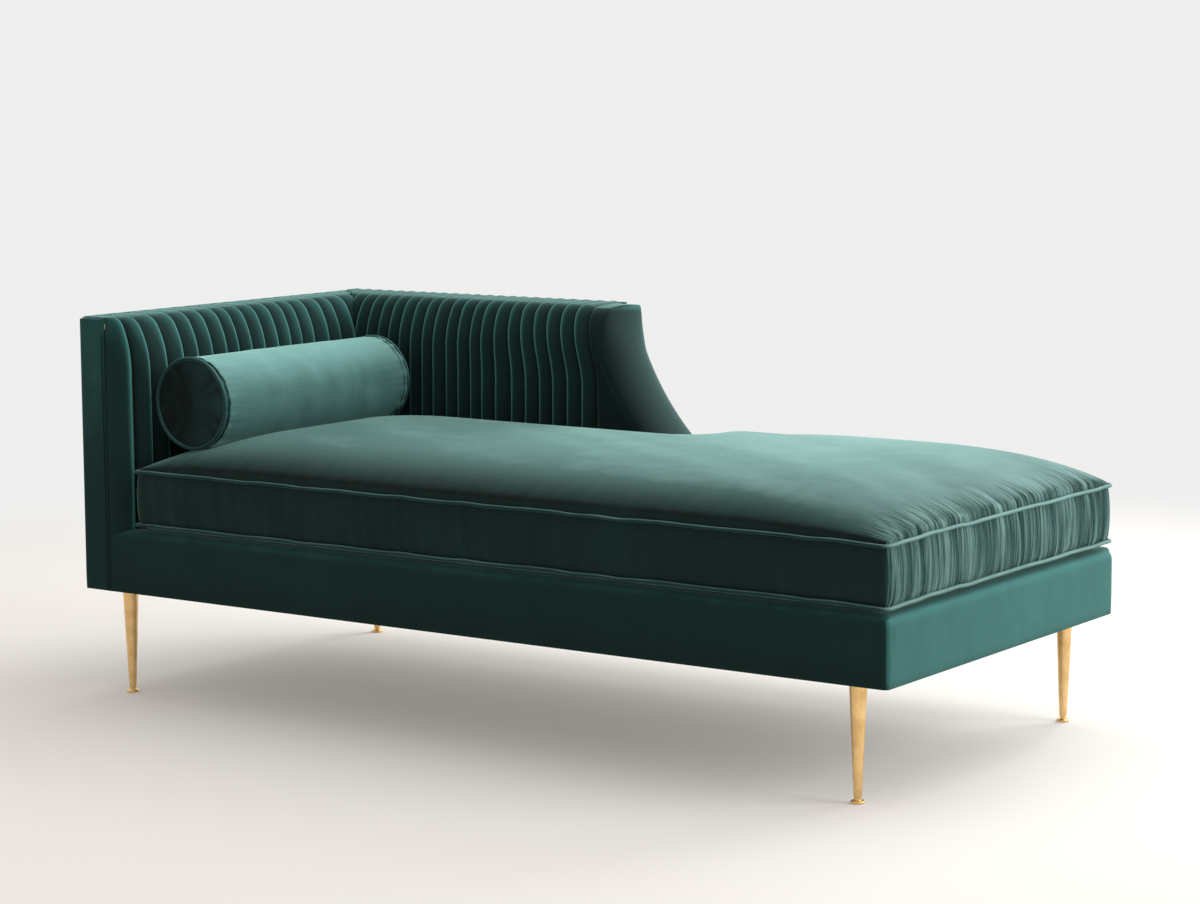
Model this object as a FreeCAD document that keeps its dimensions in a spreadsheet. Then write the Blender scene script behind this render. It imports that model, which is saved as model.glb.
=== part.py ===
import FreeCAD, Part
import math
import os
from types import SimpleNamespace

import Sketcher

# A chaise longue with one arm and a half back, standing on four tapered legs.
# X runs from the head end (the arm) to the foot end, Y from the front to the back, Z up.
# The origin is on the floor under the middle of the frame. All sizes are in millimetres.

SIZES = {
    # overall form
    "overall_length": 1700,
    "overall_depth": 800,
    "overall_height": 700,
    "underside_height": 195,
    "base_height": 116,
    "base_roll_radius": 20,
    "base_corner_radius": 10,
    # cloth, boards and timber
    "cloth": 2,
    "panel": 3,
    "timber": 24,
    "turn_under": 70,
    "turn_over": 90,
    "deck_pad_thickness": 24,
    "rail_width": 45,
    "cross_rail_height": 40,
    "cross_rail_count": 3,
    "corner_block_leg": 110,
    "corner_block_height": 70,
    # woven seat straps
    "strap_width": 60,
    "strap_thickness": 1.6,
    "strap_weave_gap": 0.2,
    "long_strap_count": 5,
    "cross_strap_count": 12,
    # arm and back
    "frame_thickness": 62,
    "frame_corner_radius": 8,
    "arm_pad": 58,
    "back_pad": 88,
    "roll_width": 58,
    "roll_height": 100,
    "roll_small_radius": 42,
    "top_padding": 10,
    "piping_radius": 3,
    "pleat_depth": 10,
    "arm_pleat_count": 15,
    "back_pleat_count": 20,
    "plain_wrap_rise": 6,
    "last_pleat_from_head": 703,
    # sloped end of the back
    "nose_length": 40,
    "nose_bulge_share": 0.8,
    "nose_top_from_head": 712,
    "nose_top_drop": 15,
    "nose_foot_from_head": 905,
    "nose_foot_height": 400,
    "nose_sweep_radius": 520,
    # seat cushion
    "cushion_gap": 1,
    "rest_gap": 0.3,
    "boxing_height": 98,
    "cushion_crown": 66,
    "cushion_belly": 12,
    "belly_run": 36,
    "crown_run": 260,
    "cushion_corner_radius": 14,
    "notch_corner_radius": 8,
    "cushion_notch_from_head": 910,
    "wadding": 12,
    "welt_radius": 3,
    "welt_proud": 1.5,
    "zip_length": 600,
    "zip_width": 26,
    # bolster
    "bolster_radius": 86,
    "bolster_length": 536,
    "bolster_from_front": 68,
    "bolster_crown_share": 0.8,
    "bolster_sink": 16,
    "dent_margin": 45,
    "bolster_piping_radius": 3.5,
    # legs and their adjustable feet
    "leg_top_radius": 14.5,
    "leg_bottom_radius": 6.5,
    "leg_neck_radius": 5.5,
    "leg_neck_length": 5,
    "leg_neck_chamfer": 1,
    "leg_end_inset": 74,
    "leg_side_inset": 40,
    "leg_plate_side": 50,
    "leg_plate_thickness": 3,
    "plate_screw_radius": 2.2,
    "plate_screw_length": 18,
    "plate_screw_inset": 8,
    "stud_radius": 5,
    "stud_length": 48,
    "foot_radius": 11.5,
    "foot_height": 5,
    "foot_edge_radius": 2,
    "stem_radius": 3,
    "stem_length": 24,
    "stem_bore_depth": 28,
    "running_gap": 0.05,
}


class Size:
    """A number that keeps the sheet formula it was worked out with."""

    def __init__(self, value, formula):
        self.value = value
        self.formula = formula

    def __add__(self, other):
        other = as_size(other)
        return Size(self.value + other.value, f"({self.formula} + {other.formula})")

    def __sub__(self, other):
        other = as_size(other)
        return Size(self.value - other.value, f"({self.formula} - {other.formula})")

    def __mul__(self, other):
        other = as_size(other)
        return Size(self.value * other.value, f"({self.formula} * {other.formula})")

    def __truediv__(self, other):
        other = as_size(other)
        return Size(self.value / other.value, f"({self.formula} / {other.formula})")

    def __neg__(self):
        return Size(-self.value, f"(0 - {self.formula})")


def as_size(number):
    """Take a plain number or a Size, and give a Size."""
    return number if isinstance(number, Size) else Size(number, f"({number})")


def root(size):
    """The square root of a size."""
    return Size(math.sqrt(size.value), f"sqrt({size.formula})")


def smaller(one, other):
    """The smaller of two sizes."""
    return one if one.value < other.value else other


def make_sheet():
    """Write the driving dimensions into the document's sheet and hand them out by name."""
    sheet = doc.addObject("Spreadsheet::Sheet", "sizes")
    for row, (name, value) in enumerate(SIZES.items(), start=1):
        sheet.set(f"A{row}", name)
        sheet.set(f"B{row}", str(value))
        sheet.setAlias(f"B{row}", name)
    doc.recompute()
    return SimpleNamespace(**{name: Size(sheet.get(name), f"sizes.{name}") for name in SIZES})


def bind(thing, prop, size):
    """Tie one property of an object to a size."""
    thing.setExpression(prop, as_size(size).formula)


# Solids from primitives and booleans

def box(label, low, high):
    """A block between its low and high corners."""
    block = doc.addObject("Part::Box", label)
    for prop, start, end in zip(("Length", "Width", "Height"), low, high):
        bind(block, prop, as_size(end) - start)
    for axis, start in zip("xyz", low):
        bind(block, f"Placement.Base.{axis}", start)
    return block


def rod(label, radius, start, length, along="Z"):
    """A round bar from its start point along one axis."""
    bar = doc.addObject("Part::Cylinder", label)
    turn = {"X": (FreeCAD.Vector(0, 1, 0), 90), "Y": (FreeCAD.Vector(1, 0, 0), -90),
            "Z": (FreeCAD.Vector(0, 0, 1), 0)}
    bar.Placement = FreeCAD.Placement(FreeCAD.Vector(), FreeCAD.Rotation(*turn[along]))
    bind(bar, "Radius", radius)
    bind(bar, "Height", length)
    for axis, value in zip("xyz", start):
        bind(bar, f"Placement.Base.{axis}", value)
    return bar


def combine(kind, label, pieces):
    """One boolean or group of several objects."""
    result = doc.addObject(kind, label)
    if kind == "Part::Compound":
        result.Links = pieces
    else:
        result.Shapes = pieces
    return result


def fuse(label, pieces):
    """Several objects joined into one."""
    return combine("Part::MultiFuse", label, pieces)


def common(label, pieces):
    """What several objects share."""
    return combine("Part::MultiCommon", label, pieces)


def group(label, pieces):
    """Separate solids kept in one node."""
    return combine("Part::Compound", label, pieces)


def cut(label, base, tools):
    """An object with one or more others taken away."""
    result = doc.addObject("Part::Cut", label)
    result.Base = base
    result.Tool = tools[0] if len(tools) == 1 else fuse(label + "_tools", tools)
    return result


# Sketched bodies

SKETCH_PLANES = {"XY": ("XY_Plane", 1), "XZ": ("XZ_Plane", -1), "YZ": ("YZ_Plane", 1)}


def sketch_on(body, plane, place, name):
    """A sketch on one of the body's own origin planes, moved along the plane's axis."""
    role, sign = SKETCH_PLANES[plane]
    sketch = body.newObject("Sketcher::SketchObject", name)
    sketch.AttachmentSupport = [(next(p for p in body.Origin.OriginFeatures if p.Role == role), "")]
    sketch.MapMode = "FlatFace"
    bind(sketch, "AttachmentOffset.Base.z", as_size(place) * sign)
    return sketch


def arc_between(start, end, radius, turn):
    """The arc from start to end, counter-clockwise for a turn of 1 and clockwise for -1."""
    chord = end - start
    height = math.sqrt(max(radius ** 2 - (chord.Length / 2) ** 2, 0))
    side = FreeCAD.Vector(-chord.y, chord.x, 0).normalize() * height * turn
    centre = (start + end) / 2 + side
    first, last = (start, end) if turn > 0 else (end, start)
    angles = [math.atan2(p.y - centre.y, p.x - centre.x) for p in (first, last)]
    circle = Part.Circle(centre, FreeCAD.Vector(0, 0, 1), radius)
    return Part.ArcOfCircle(circle, angles[0], angles[1])


def draw_outline(sketch, corners):
    """Draw a closed outline. A corner is (u, v), or (u, v, radius, turn) where an arc leads to it."""
    corners = [tuple(as_size(c) for c in corner[:3]) + tuple(corner[3:]) for corner in corners]
    points = [FreeCAD.Vector(corner[0].value, corner[1].value, 0) for corner in corners]
    ends = []
    for index, corner in enumerate(corners):
        start, end = points[index - 1], points[index]
        if len(corner) == 2:
            number = sketch.addGeometry(Part.LineSegment(start, end), False)
            ends.append((number, 1, 2))
            continue
        number = sketch.addGeometry(arc_between(start, end, corner[2].value, corner[3]), False)
        ends.append((number, 1, 2) if corner[3] > 0 else (number, 2, 1))
        radius = sketch.addConstraint(Sketcher.Constraint("Radius", number, corner[2].value))
        bind(sketch, f"Constraints[{radius}]", corner[2])
    for index, (number, first, last) in enumerate(ends):
        following = ends[(index + 1) % len(ends)]
        sketch.addConstraint(Sketcher.Constraint("Coincident", number, last, following[0], following[1]))
        place_point(sketch, number, last, corners[index])


def place_point(sketch, number, end, corner):
    """Hold one end of a line or an arc at its two coordinates."""
    for kind, axis, size in (("DistanceX", -2, corner[0]), ("DistanceY", -1, corner[1])):
        if abs(size.value) < 1e-6:
            sketch.addConstraint(Sketcher.Constraint("PointOnObject", number, end, axis))
            continue
        held = sketch.addConstraint(Sketcher.Constraint(kind, -1, 1, number, end, size.value))
        bind(sketch, f"Constraints[{held}]", size)


def new_body(label):
    """An empty body."""
    return doc.addObject("PartDesign::Body", label)


def prism(label, plane, corners, start, end):
    """A body padded from a sketched outline between two places on the third axis."""
    body = new_body(label)
    sketch = sketch_on(body, plane, start, label + "_sketch")
    draw_outline(sketch, corners)
    pad = body.newObject("PartDesign::Pad", label + "_pad")
    pad.Profile = sketch
    pad.Reversed = SKETCH_PLANES[plane][1] < 0
    bind(pad, "Length", as_size(end) - start)
    return body


def round_edges(body, radius, chosen):
    """Round the edges of a body's last feature that a test on their middle point chooses."""
    doc.recompute()
    base = body.Tip
    names = [f"Edge{i}" for i, edge in enumerate(base.Shape.Edges, start=1) if chosen(edge.CenterOfMass)]
    fillet = body.newObject("PartDesign::Fillet", body.Name + "_round")
    fillet.Base = (base, names)
    bind(fillet, "Radius", radius)
    return body


def repeated(body, axis_role, step, count):
    """The body's last feature repeated along an axis."""
    pattern = body.newObject("PartDesign::LinearPattern", body.Name + "_row")
    pattern.Originals = [body.Tip]
    pattern.Direction = (next(p for p in body.Origin.OriginFeatures if p.Role == axis_role), [""])
    bind(pattern, "Length", step * (count - 1))
    bind(pattern, "Occurrences", count)
    body.Tip = pattern
    return body


def near(number, size):
    """Whether a coordinate lies on a size."""
    return abs(number - size.value) < 0.01


doc = FreeCAD.newDocument("ChaiseLongue")
s = make_sheet()
PIECES = {}

head = -(s.overall_length / 2)
foot = s.overall_length / 2
front = -(s.overall_depth / 2)
rear = s.overall_depth / 2
under = s.underside_height
deck = s.underside_height + s.base_height
top = s.overall_height
arm_in = head + s.frame_thickness
arm_face = arm_in + s.arm_pad
back_in = rear - s.frame_thickness
back_face = back_in - s.back_pad
skin = s.pleat_depth + s.cloth
roll_base = top - s.roll_height
frame_top = top - skin - s.top_padding
end_seam = head + s.last_pleat_from_head
nose_foot_x = head + s.nose_foot_from_head


# Base: a timber rail box, woven straps, a pad and its velvet

def base_form(label, inset):
    """The base's outer form under the velvet, drawn in by an inset, with its soft top edge."""
    edge_top = deck - inset
    right = foot - inset
    sides = (front + inset, rear - inset)
    corners = [(arm_in, sides[0]), (right, sides[0]), (right, sides[1]), (arm_in, sides[1])]
    body = prism(label, "XY", corners, under + inset, edge_top)
    round_edges(body, s.base_corner_radius - inset,
                lambda p: near(p.x, right) and (near(p.y, sides[0]) or near(p.y, sides[1])))
    return round_edges(body, s.base_roll_radius - inset,
                       lambda p: near(p.z, edge_top) and not near(p.x, arm_in) and not near(p.y, sides[1]))


def make_base():
    """Rails, blocks, straps, pad and covers of the base."""
    c = s.cloth
    outer = base_form("base_outer", as_size(0))
    inner = base_form("base_inner", c)
    window_low = (arm_in - 1, front + s.turn_under, under - 1)
    window_high = (foot - s.turn_under, rear - s.turn_under, under + c + 1)
    deck_low = (arm_in + s.arm_pad, front + s.turn_over, deck - c - 1)
    deck_high = (foot - s.turn_over, back_face - s.turn_over, deck + 1)
    pad_bottom = deck - c - s.deck_pad_thickness
    rail_top = pad_bottom - (s.strap_thickness * 2 + s.strap_weave_gap)
    back_zone = box("back_frame_zone", (arm_in, back_in, rail_top), (nose_foot_x, rear - c, deck + 1))
    openings = [box("base_window", window_low, window_high), box("deck_window", deck_low, deck_high)]
    PIECES["base_cover"] = cut("base_cover", outer, [inner, back_zone] + openings)
    PIECES["deck_cloth"] = box("deck_cloth", deck_low[:2] + (deck - c,), deck_high[:2] + (deck,))
    dust_low = (arm_in,) + window_low[1:2] + (under,)
    PIECES["dust_cover"] = box("dust_cover", dust_low, window_high[:2] + (under + c,))

    zone = box("deck_pad_zone", (arm_in, front, pad_bottom), (foot, rear, deck))
    PIECES["deck_pad"] = cut("deck_pad", common("deck_pad_full", [inner, zone]), [back_zone])
    floor = under + c
    outer_x = head + c + s.panel
    rail_in = (outer_x + s.timber, foot - c - s.timber, front + c + s.timber, rear - c - s.timber)
    rails = {
        "base_front_rail": ((outer_x, front + c, floor), (foot - c, rail_in[2], rail_top)),
        "base_back_rail": ((outer_x, rail_in[3], floor), (foot - c, rear - c, rail_top)),
        "base_head_rail": ((outer_x, rail_in[2], floor), (rail_in[0], rail_in[3], rail_top)),
        "base_foot_rail": ((rail_in[1], rail_in[2], floor), (foot - c, rail_in[3], rail_top)),
    }
    corner_mask = prism("rail_mask", "XY", [(outer_x, front + c), (foot - c, front + c),
                                            (foot - c, rear - c), (outer_x, rear - c)], floor, rail_top)
    round_edges(corner_mask, s.base_corner_radius - c,
                lambda p: near(abs(p.y), rear - c) and (near(p.x, foot - c) or near(p.x, outer_x)))
    for name, (low, high) in rails.items():
        PIECES[name] = common(name, [box(name + "_stock", low, high), corner_mask])

    cross = []
    gap = (rail_in[1] - rail_in[0]) / (s.cross_rail_count + 1)
    for number in range(1, int(s.cross_rail_count.value) + 1):
        middle = rail_in[0] + gap * number
        low = (middle - s.timber / 2, rail_in[2], floor)
        cross.append(box("cross_rail", low, (middle + s.timber / 2, rail_in[3], floor + s.cross_rail_height)))
    PIECES["base_cross_rails"] = group("base_cross_rails", cross)

    blocks, cores = [], []
    for end, side in leg_corners():
        x = rail_in[1] if end > 0 else rail_in[0]
        y = rail_in[3] if side > 0 else rail_in[2]
        corners = [(x, y), (x - s.corner_block_leg * end, y), (x, y - s.corner_block_leg * side)]
        block = prism("corner_block_stock", "XY", corners, floor, floor + s.corner_block_height)
        blocks.append(block)
    PIECES["corner_blocks"] = group("corner_blocks", blocks)
    make_straps(rail_in, rail_top)
    return rail_in, rail_top


def leg_corners():
    """The signs of the four corners, front left first."""
    return [(-1, -1), (1, -1), (-1, 1), (1, 1)]


def leg_centre(end, side):
    """Where a leg's axis stands at one corner."""
    return (foot - s.leg_end_inset) * end, (rear - s.leg_side_inset) * side


def wavy_strap(label, plane, run, crossings, across, level, phase):
    """One seat strap that passes over and under its crossings, with flats over the rails."""
    start, end = run
    pitch = (end - start) / crossings
    rise = s.strap_thickness + s.strap_weave_gap
    flat = s.strap_width / 2
    lower = [(start - s.timber, level + rise / 2)]
    for number in range(crossings):
        middle = start + pitch * (number + 0.5)
        height = level + rise if (number + phase) % 2 else level
        lower += [(middle - flat, height), (middle + flat, height)]
    lower.append((end + s.timber, level + rise / 2))
    upper = [(u, v + s.strap_thickness) for u, v in reversed(lower)]
    return prism(label, plane, lower + upper, across - flat, across + flat)


def make_straps(rail_in, rail_top):
    """Long and cross straps, woven over and under each other between the rails."""
    counts = {"long": int(s.long_strap_count.value), "cross": int(s.cross_strap_count.value)}
    runs = {"long": (rail_in[0], rail_in[1]), "cross": (rail_in[2], rail_in[3])}
    for kind, other, plane in (("long", "cross", "XZ"), ("cross", "long", "YZ")):
        start, end = runs[other]
        pitch = (end - start) / counts[kind]
        straps = []
        for number in range(counts[kind]):
            across = start + pitch * (number + 0.5)
            phase = number + (0 if kind == "long" else 1)
            strap = wavy_strap(kind + "_strap", plane, runs[kind], counts[other], across, rail_top, phase)
            straps.append(strap)
        PIECES[kind + "_straps"] = group(kind + "_straps", straps)


# Legs: tapered brass legs on screwed plates, with feet that screw out of them

def make_leg(end, side, name):
    """One leg with its plate, screws, stud and foot."""
    x, y = leg_centre(end, side)
    leg_bottom = s.foot_height
    neck_top = leg_bottom + s.leg_neck_length
    leg_top = under - s.leg_plate_thickness
    bore_r = s.stem_radius + s.running_gap
    profile = [(bore_r, leg_bottom), (s.leg_neck_radius, leg_bottom),
               (s.leg_neck_radius, neck_top - s.leg_neck_chamfer), (s.leg_bottom_radius, neck_top),
               (s.leg_top_radius, leg_top), (0, leg_top),
               (0, leg_bottom + s.stem_bore_depth), (bore_r, leg_bottom + s.stem_bore_depth)]
    leg = revolved("leg_" + name, profile, x, y)
    PIECES["leg_" + name] = leg
    stem_top = leg_bottom + s.stem_length
    r = s.foot_edge_radius
    rim = s.foot_radius
    foot_profile = [(0, 0), (rim - r, 0), (rim, r, r, 1), (rim, s.foot_height - r),
                    (rim - r, s.foot_height, r, 1), (s.stem_radius, s.foot_height),
                    (s.stem_radius, stem_top), (0, stem_top)]
    PIECES["leveller_" + name] = revolved("leveller_" + name, foot_profile, x, y)
    half = s.leg_plate_side / 2
    hole_inset = half - s.plate_screw_inset
    screws = []
    for dx, dy in leg_corners():
        place = (x + hole_inset * dx, y + hole_inset * dy, leg_top)
        screws.append(rod("plate_screw", s.plate_screw_radius, place, s.plate_screw_length))
    plate = box("leg_plate", (x - half, y - half, leg_top), (x + half, y + half, under))
    stud = rod("leg_stud", s.stud_radius, (x, y, leg_top), s.stud_length)
    return cut("leg_plate_drilled", plate, screws + [stud]), screws, stud


def revolved(label, profile, x, y):
    """A body turned about an upright axis at x, y. The profile is in radius and height."""
    body = new_body(label)
    sketch = sketch_on(body, "XZ", 0, label + "_sketch")
    draw_outline(sketch, profile)
    turn = body.newObject("PartDesign::Revolution", label + "_turn")
    turn.Profile = sketch
    turn.ReferenceAxis = (sketch, ["V_Axis"])
    turn.Angle = 360
    bind(body, "Placement.Base.x", x)
    bind(body, "Placement.Base.y", y)
    return body


# Arm and back: a rounded roll over the top, drawn as two arcs that meet smoothly

def roll_curve(centre, side, flat, depth):
    """Corners up the face, over the roll and along the flat top, drawn in by a depth."""
    wide, tall, small = (as_size(size) - depth for size in (s.roll_width, s.roll_height, s.roll_small_radius))
    large = (wide * wide + (tall - small) * (tall - small) - small * small) / ((wide - small) * 2)
    share = large / (large - small)
    join = (wide - large + share * (large - wide), share * (tall - small))
    return [(centre + wide * side, roll_base), (centre + join[0] * side, roll_base + join[1], large, side),
            (centre, roll_base + tall, small, side), (centre - flat * side, roll_base + tall)]


def roll_band(centre, side, flat, rise, floor):
    """The closed section of a cover whose outer face stands a rise above its valleys."""
    outer = roll_curve(centre, side, flat, s.pleat_depth - rise)
    inner = roll_curve(centre, side, flat, skin)
    back = [inner[3], inner[2][:2], inner[1][:2] + (inner[2][2], -side), inner[0][:2] + (inner[1][2], -side)]
    return [(outer[0][0], floor)] + outer + back + [(inner[0][0], floor)]


def roll_solid(centre, side, flat, floor):
    """The closed section of what lies under a cover."""
    inner = roll_curve(centre, side, flat, skin)
    return [(inner[0][0], floor)] + inner + [(inner[3][0], floor)]


def pleat_row(label, plane, sections, start, pitch, count):
    """One folded pleat lofted between two sections and repeated into a row."""
    body = new_body(label)
    sketches = []
    for number, section in enumerate(sections):
        sketch = sketch_on(body, plane, start + pitch * number, f"{label}_sketch_{number}")
        draw_outline(sketch, section)
        sketches.append(sketch)
    loft = body.newObject("PartDesign::AdditiveLoft", label + "_pleat")
    loft.Profile = sketches[0]
    loft.Sections = sketches[1:]
    loft.Ruled = True
    return repeated(body, "Y_Axis" if plane == "XZ" else "X_Axis", pitch, count)


def quarter_turn(label, outline, centre_y):
    """The arm's front corner: its section turned a quarter about the upright at the frame's corner."""
    body = new_body(label)
    sketch = sketch_on(body, "XZ", 0, label + "_sketch")
    draw_outline(sketch, outline)
    turn = body.newObject("PartDesign::Revolution", label + "_turn")
    turn.Profile = sketch
    turn.ReferenceAxis = (sketch, ["V_Axis"])
    turn.Angle = 90
    turn.Reversed = True
    bind(body, "Placement.Base.x", arm_face - s.roll_width)
    bind(body, "Placement.Base.y", centre_y)
    return body


def make_arm(rail_top):
    """Posts, rails, panel, foam, covers and piping of the arm."""
    c = s.cloth
    centre = arm_face - s.roll_width
    flat = centre - head - s.piping_radius * 2
    corner_y = front + s.roll_width
    mitre = [(arm_face, back_face), (centre, back_face + s.roll_width), (head, rear)]
    region = prism("arm_region", "XY", [(head, corner_y), (arm_face, corner_y)] + mitre, deck - 1, top + 1)
    pitch = (back_face - corner_y) / s.arm_pleat_count
    extra = math.ceil((rear - back_face).value / pitch.value)
    sections = [roll_band(centre, 1, flat, rise, deck) for rise in (as_size(0), s.pleat_depth)]
    row = pleat_row("arm_pleats", "XZ", sections, corner_y, pitch, s.arm_pleat_count + extra)
    PIECES["arm_pleated_cover"] = common("arm_pleated_cover", [row, region])

    turned = roll_band(as_size(0), 1, as_size(0), s.plain_wrap_rise, deck)
    inner = roll_curve(as_size(0), 1, as_size(0), skin)
    turned = [corner for index, corner in enumerate(turned) if index not in (4, 6)]
    wrap = quarter_turn("arm_wrap", turned, corner_y)
    strip_low = (head + s.piping_radius * 2, front, top - skin)
    strip_high = (centre, corner_y, top - s.pleat_depth + s.plain_wrap_rise)
    PIECES["arm_front_cover"] = fuse("arm_front_cover", [wrap, box("arm_top_strip", strip_low, strip_high)])

    fill = prism("arm_fill", "XZ", roll_solid(centre, 1, flat, deck), corner_y, rear)
    corner_fill = quarter_turn("arm_corner_fill", [(0, deck), (inner[0][0], deck)] + inner[:3], corner_y)
    front_low = (head + s.piping_radius * 2, front, deck)
    front_fill = box("arm_front_fill", front_low, (centre, corner_y, top - skin))
    frame_zone = box("arm_frame_zone", (head, front, under), (arm_in, rear, frame_top))
    foam_region = prism("arm_foam_region", "XY", [(head, front), (arm_face, front)] + mitre, deck, top)
    foam = common("arm_foam_full", [fuse("arm_fills", [fill, corner_fill, front_fill]), foam_region])

    cover_top = top - skin
    outer = prism("arm_outer_form", "XY", [(head, front), (arm_in, front), (arm_in, rear), (head, rear)],
                  under, cover_top)
    round_edges(outer, s.frame_corner_radius, lambda p: near(p.x, head) and near(abs(p.y), rear))
    hollow = prism("arm_inner_form", "XY", [(head + c, front + c), (arm_in, front + c), (arm_in, rear - c),
                                            (head + c, rear - c)], under + c, cover_top)
    round_edges(hollow, s.frame_corner_radius - c, lambda p: near(p.x, head + c) and near(abs(p.y), rear - c))
    piping = arm_piping_form()
    PIECES["arm_piping"] = piping
    PIECES["arm_outer_cover"] = cut("arm_outer_cover", outer, [hollow, piping])
    PIECES["arm_foam"] = cut("arm_foam", foam, [frame_zone, PIECES["arm_outer_cover"]])

    x = head + c + s.panel
    posts_y = (front + c + s.rail_width, rear - c - s.rail_width)
    hard = {
        "arm_front_post": ((x, front + c, rail_top), (arm_in, posts_y[0], frame_top)),
        "arm_back_post": ((x, posts_y[1], rail_top), (arm_in, rear - c, frame_top)),
        "arm_top_rail": ((x, posts_y[0], frame_top - s.rail_width), (arm_in, posts_y[1], frame_top)),
        "arm_tack_rail": ((arm_in - s.timber, posts_y[0], deck), (arm_in, posts_y[1], deck + s.rail_width)),
        "arm_panel": ((head + c, front + c, under + c), (x, rear - c, frame_top)),
    }
    for name, (low, high) in hard.items():
        fitted = common(name + "_fitted", [box(name + "_stock", low, high), hollow])
        PIECES[name] = cut(name, fitted, [piping])


def arm_piping_form():
    """The piping round the arm's outer edge: up the front, along the top and down the back."""
    r = s.piping_radius
    x = head + r
    ends = (front + r, rear - r)
    level = top - r
    pieces = [rod("arm_piping_front", r, (x, ends[0], under), level - under),
              rod("arm_piping_back", r, (x, ends[1], under), level - under),
              rod("arm_piping_top", r, (x, ends[0], level), ends[1] - ends[0], "Y")]
    for end in ends:
        ball = doc.addObject("Part::Sphere", "piping_corner")
        bind(ball, "Radius", r)
        for axis, value in zip("xyz", (x, end, level)):
            bind(ball, f"Placement.Base.{axis}", value)
        pieces.append(ball)
    return fuse("arm_piping", pieces)


def nose_tip(height):
    """How far the back's sloped end reaches at a height: a concave arc down to the seat."""
    upper = (head + s.nose_top_from_head, top - s.nose_top_drop)
    lower = (nose_foot_x, s.nose_foot_height)
    run, fall = lower[0] - upper[0], lower[1] - upper[1]
    chord = root(run * run + fall * fall)
    reach = root(s.nose_sweep_radius * s.nose_sweep_radius - chord * chord / 4) / chord
    middle = ((upper[0] + lower[0]) / 2 - fall * reach, (upper[1] + lower[1]) / 2 + run * reach)
    rise = as_size(height) - middle[1]
    return middle[0] - root(s.nose_sweep_radius * s.nose_sweep_radius - rise * rise)


# Shares of the slope's height at which the sloped end has a level section
NOSE_STEPS = (0.2, 0.4, 0.6, 0.8, 0.92, 1)


def nose_form(label, face_inset, edge_inset):
    """The soft sloped end of the back as a stack of level sections with a rounded nose."""
    slope = top - s.nose_top_drop - s.nose_foot_height
    heights = [deck, s.nose_foot_height] + [s.nose_foot_height + slope * share for share in NOSE_STEPS]
    heights.append(top - s.pleat_depth + s.plain_wrap_rise)
    tips = [nose_foot_x] + [nose_tip(height) for height in heights[1:-1]]
    tips.append(end_seam + (tips[-1] - end_seam) / 2)
    body = new_body(label)
    sketches = []
    for number, (height, tip) in enumerate(zip(heights, tips)):
        level = height - edge_inset if number else height
        share = (height - roll_base) / s.roll_height
        drawn_in = as_size(0)
        if share.value > 0:
            drawn_in = s.roll_width * (as_size(1) - root(as_size(1) - share * share))
        sides = (back_face + face_inset + drawn_in, rear - edge_inset)
        reach = tip - edge_inset
        bulge = smaller(s.nose_length, (reach - end_seam) * s.nose_bulge_share)
        half = (sides[1] - sides[0]) / 2
        radius = (half * half + bulge * bulge) / (bulge * 2)
        sketch = sketch_on(body, "XY", level, f"{label}_sketch_{number}")
        draw_outline(sketch, [(end_seam, sides[0]), (reach - bulge, sides[0]),
                              (reach - bulge, sides[1], radius, 1), (end_seam, sides[1])])
        sketches.append(sketch)
    loft = body.newObject("PartDesign::AdditiveLoft", label + "_loft")
    loft.Profile = sketches[0]
    loft.Sections = sketches[1:]
    loft.Ruled = True
    return body


# The seat strap bays, counted from the arm, where the back's posts stand
BACK_POST_BAYS = (1, 3)


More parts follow.
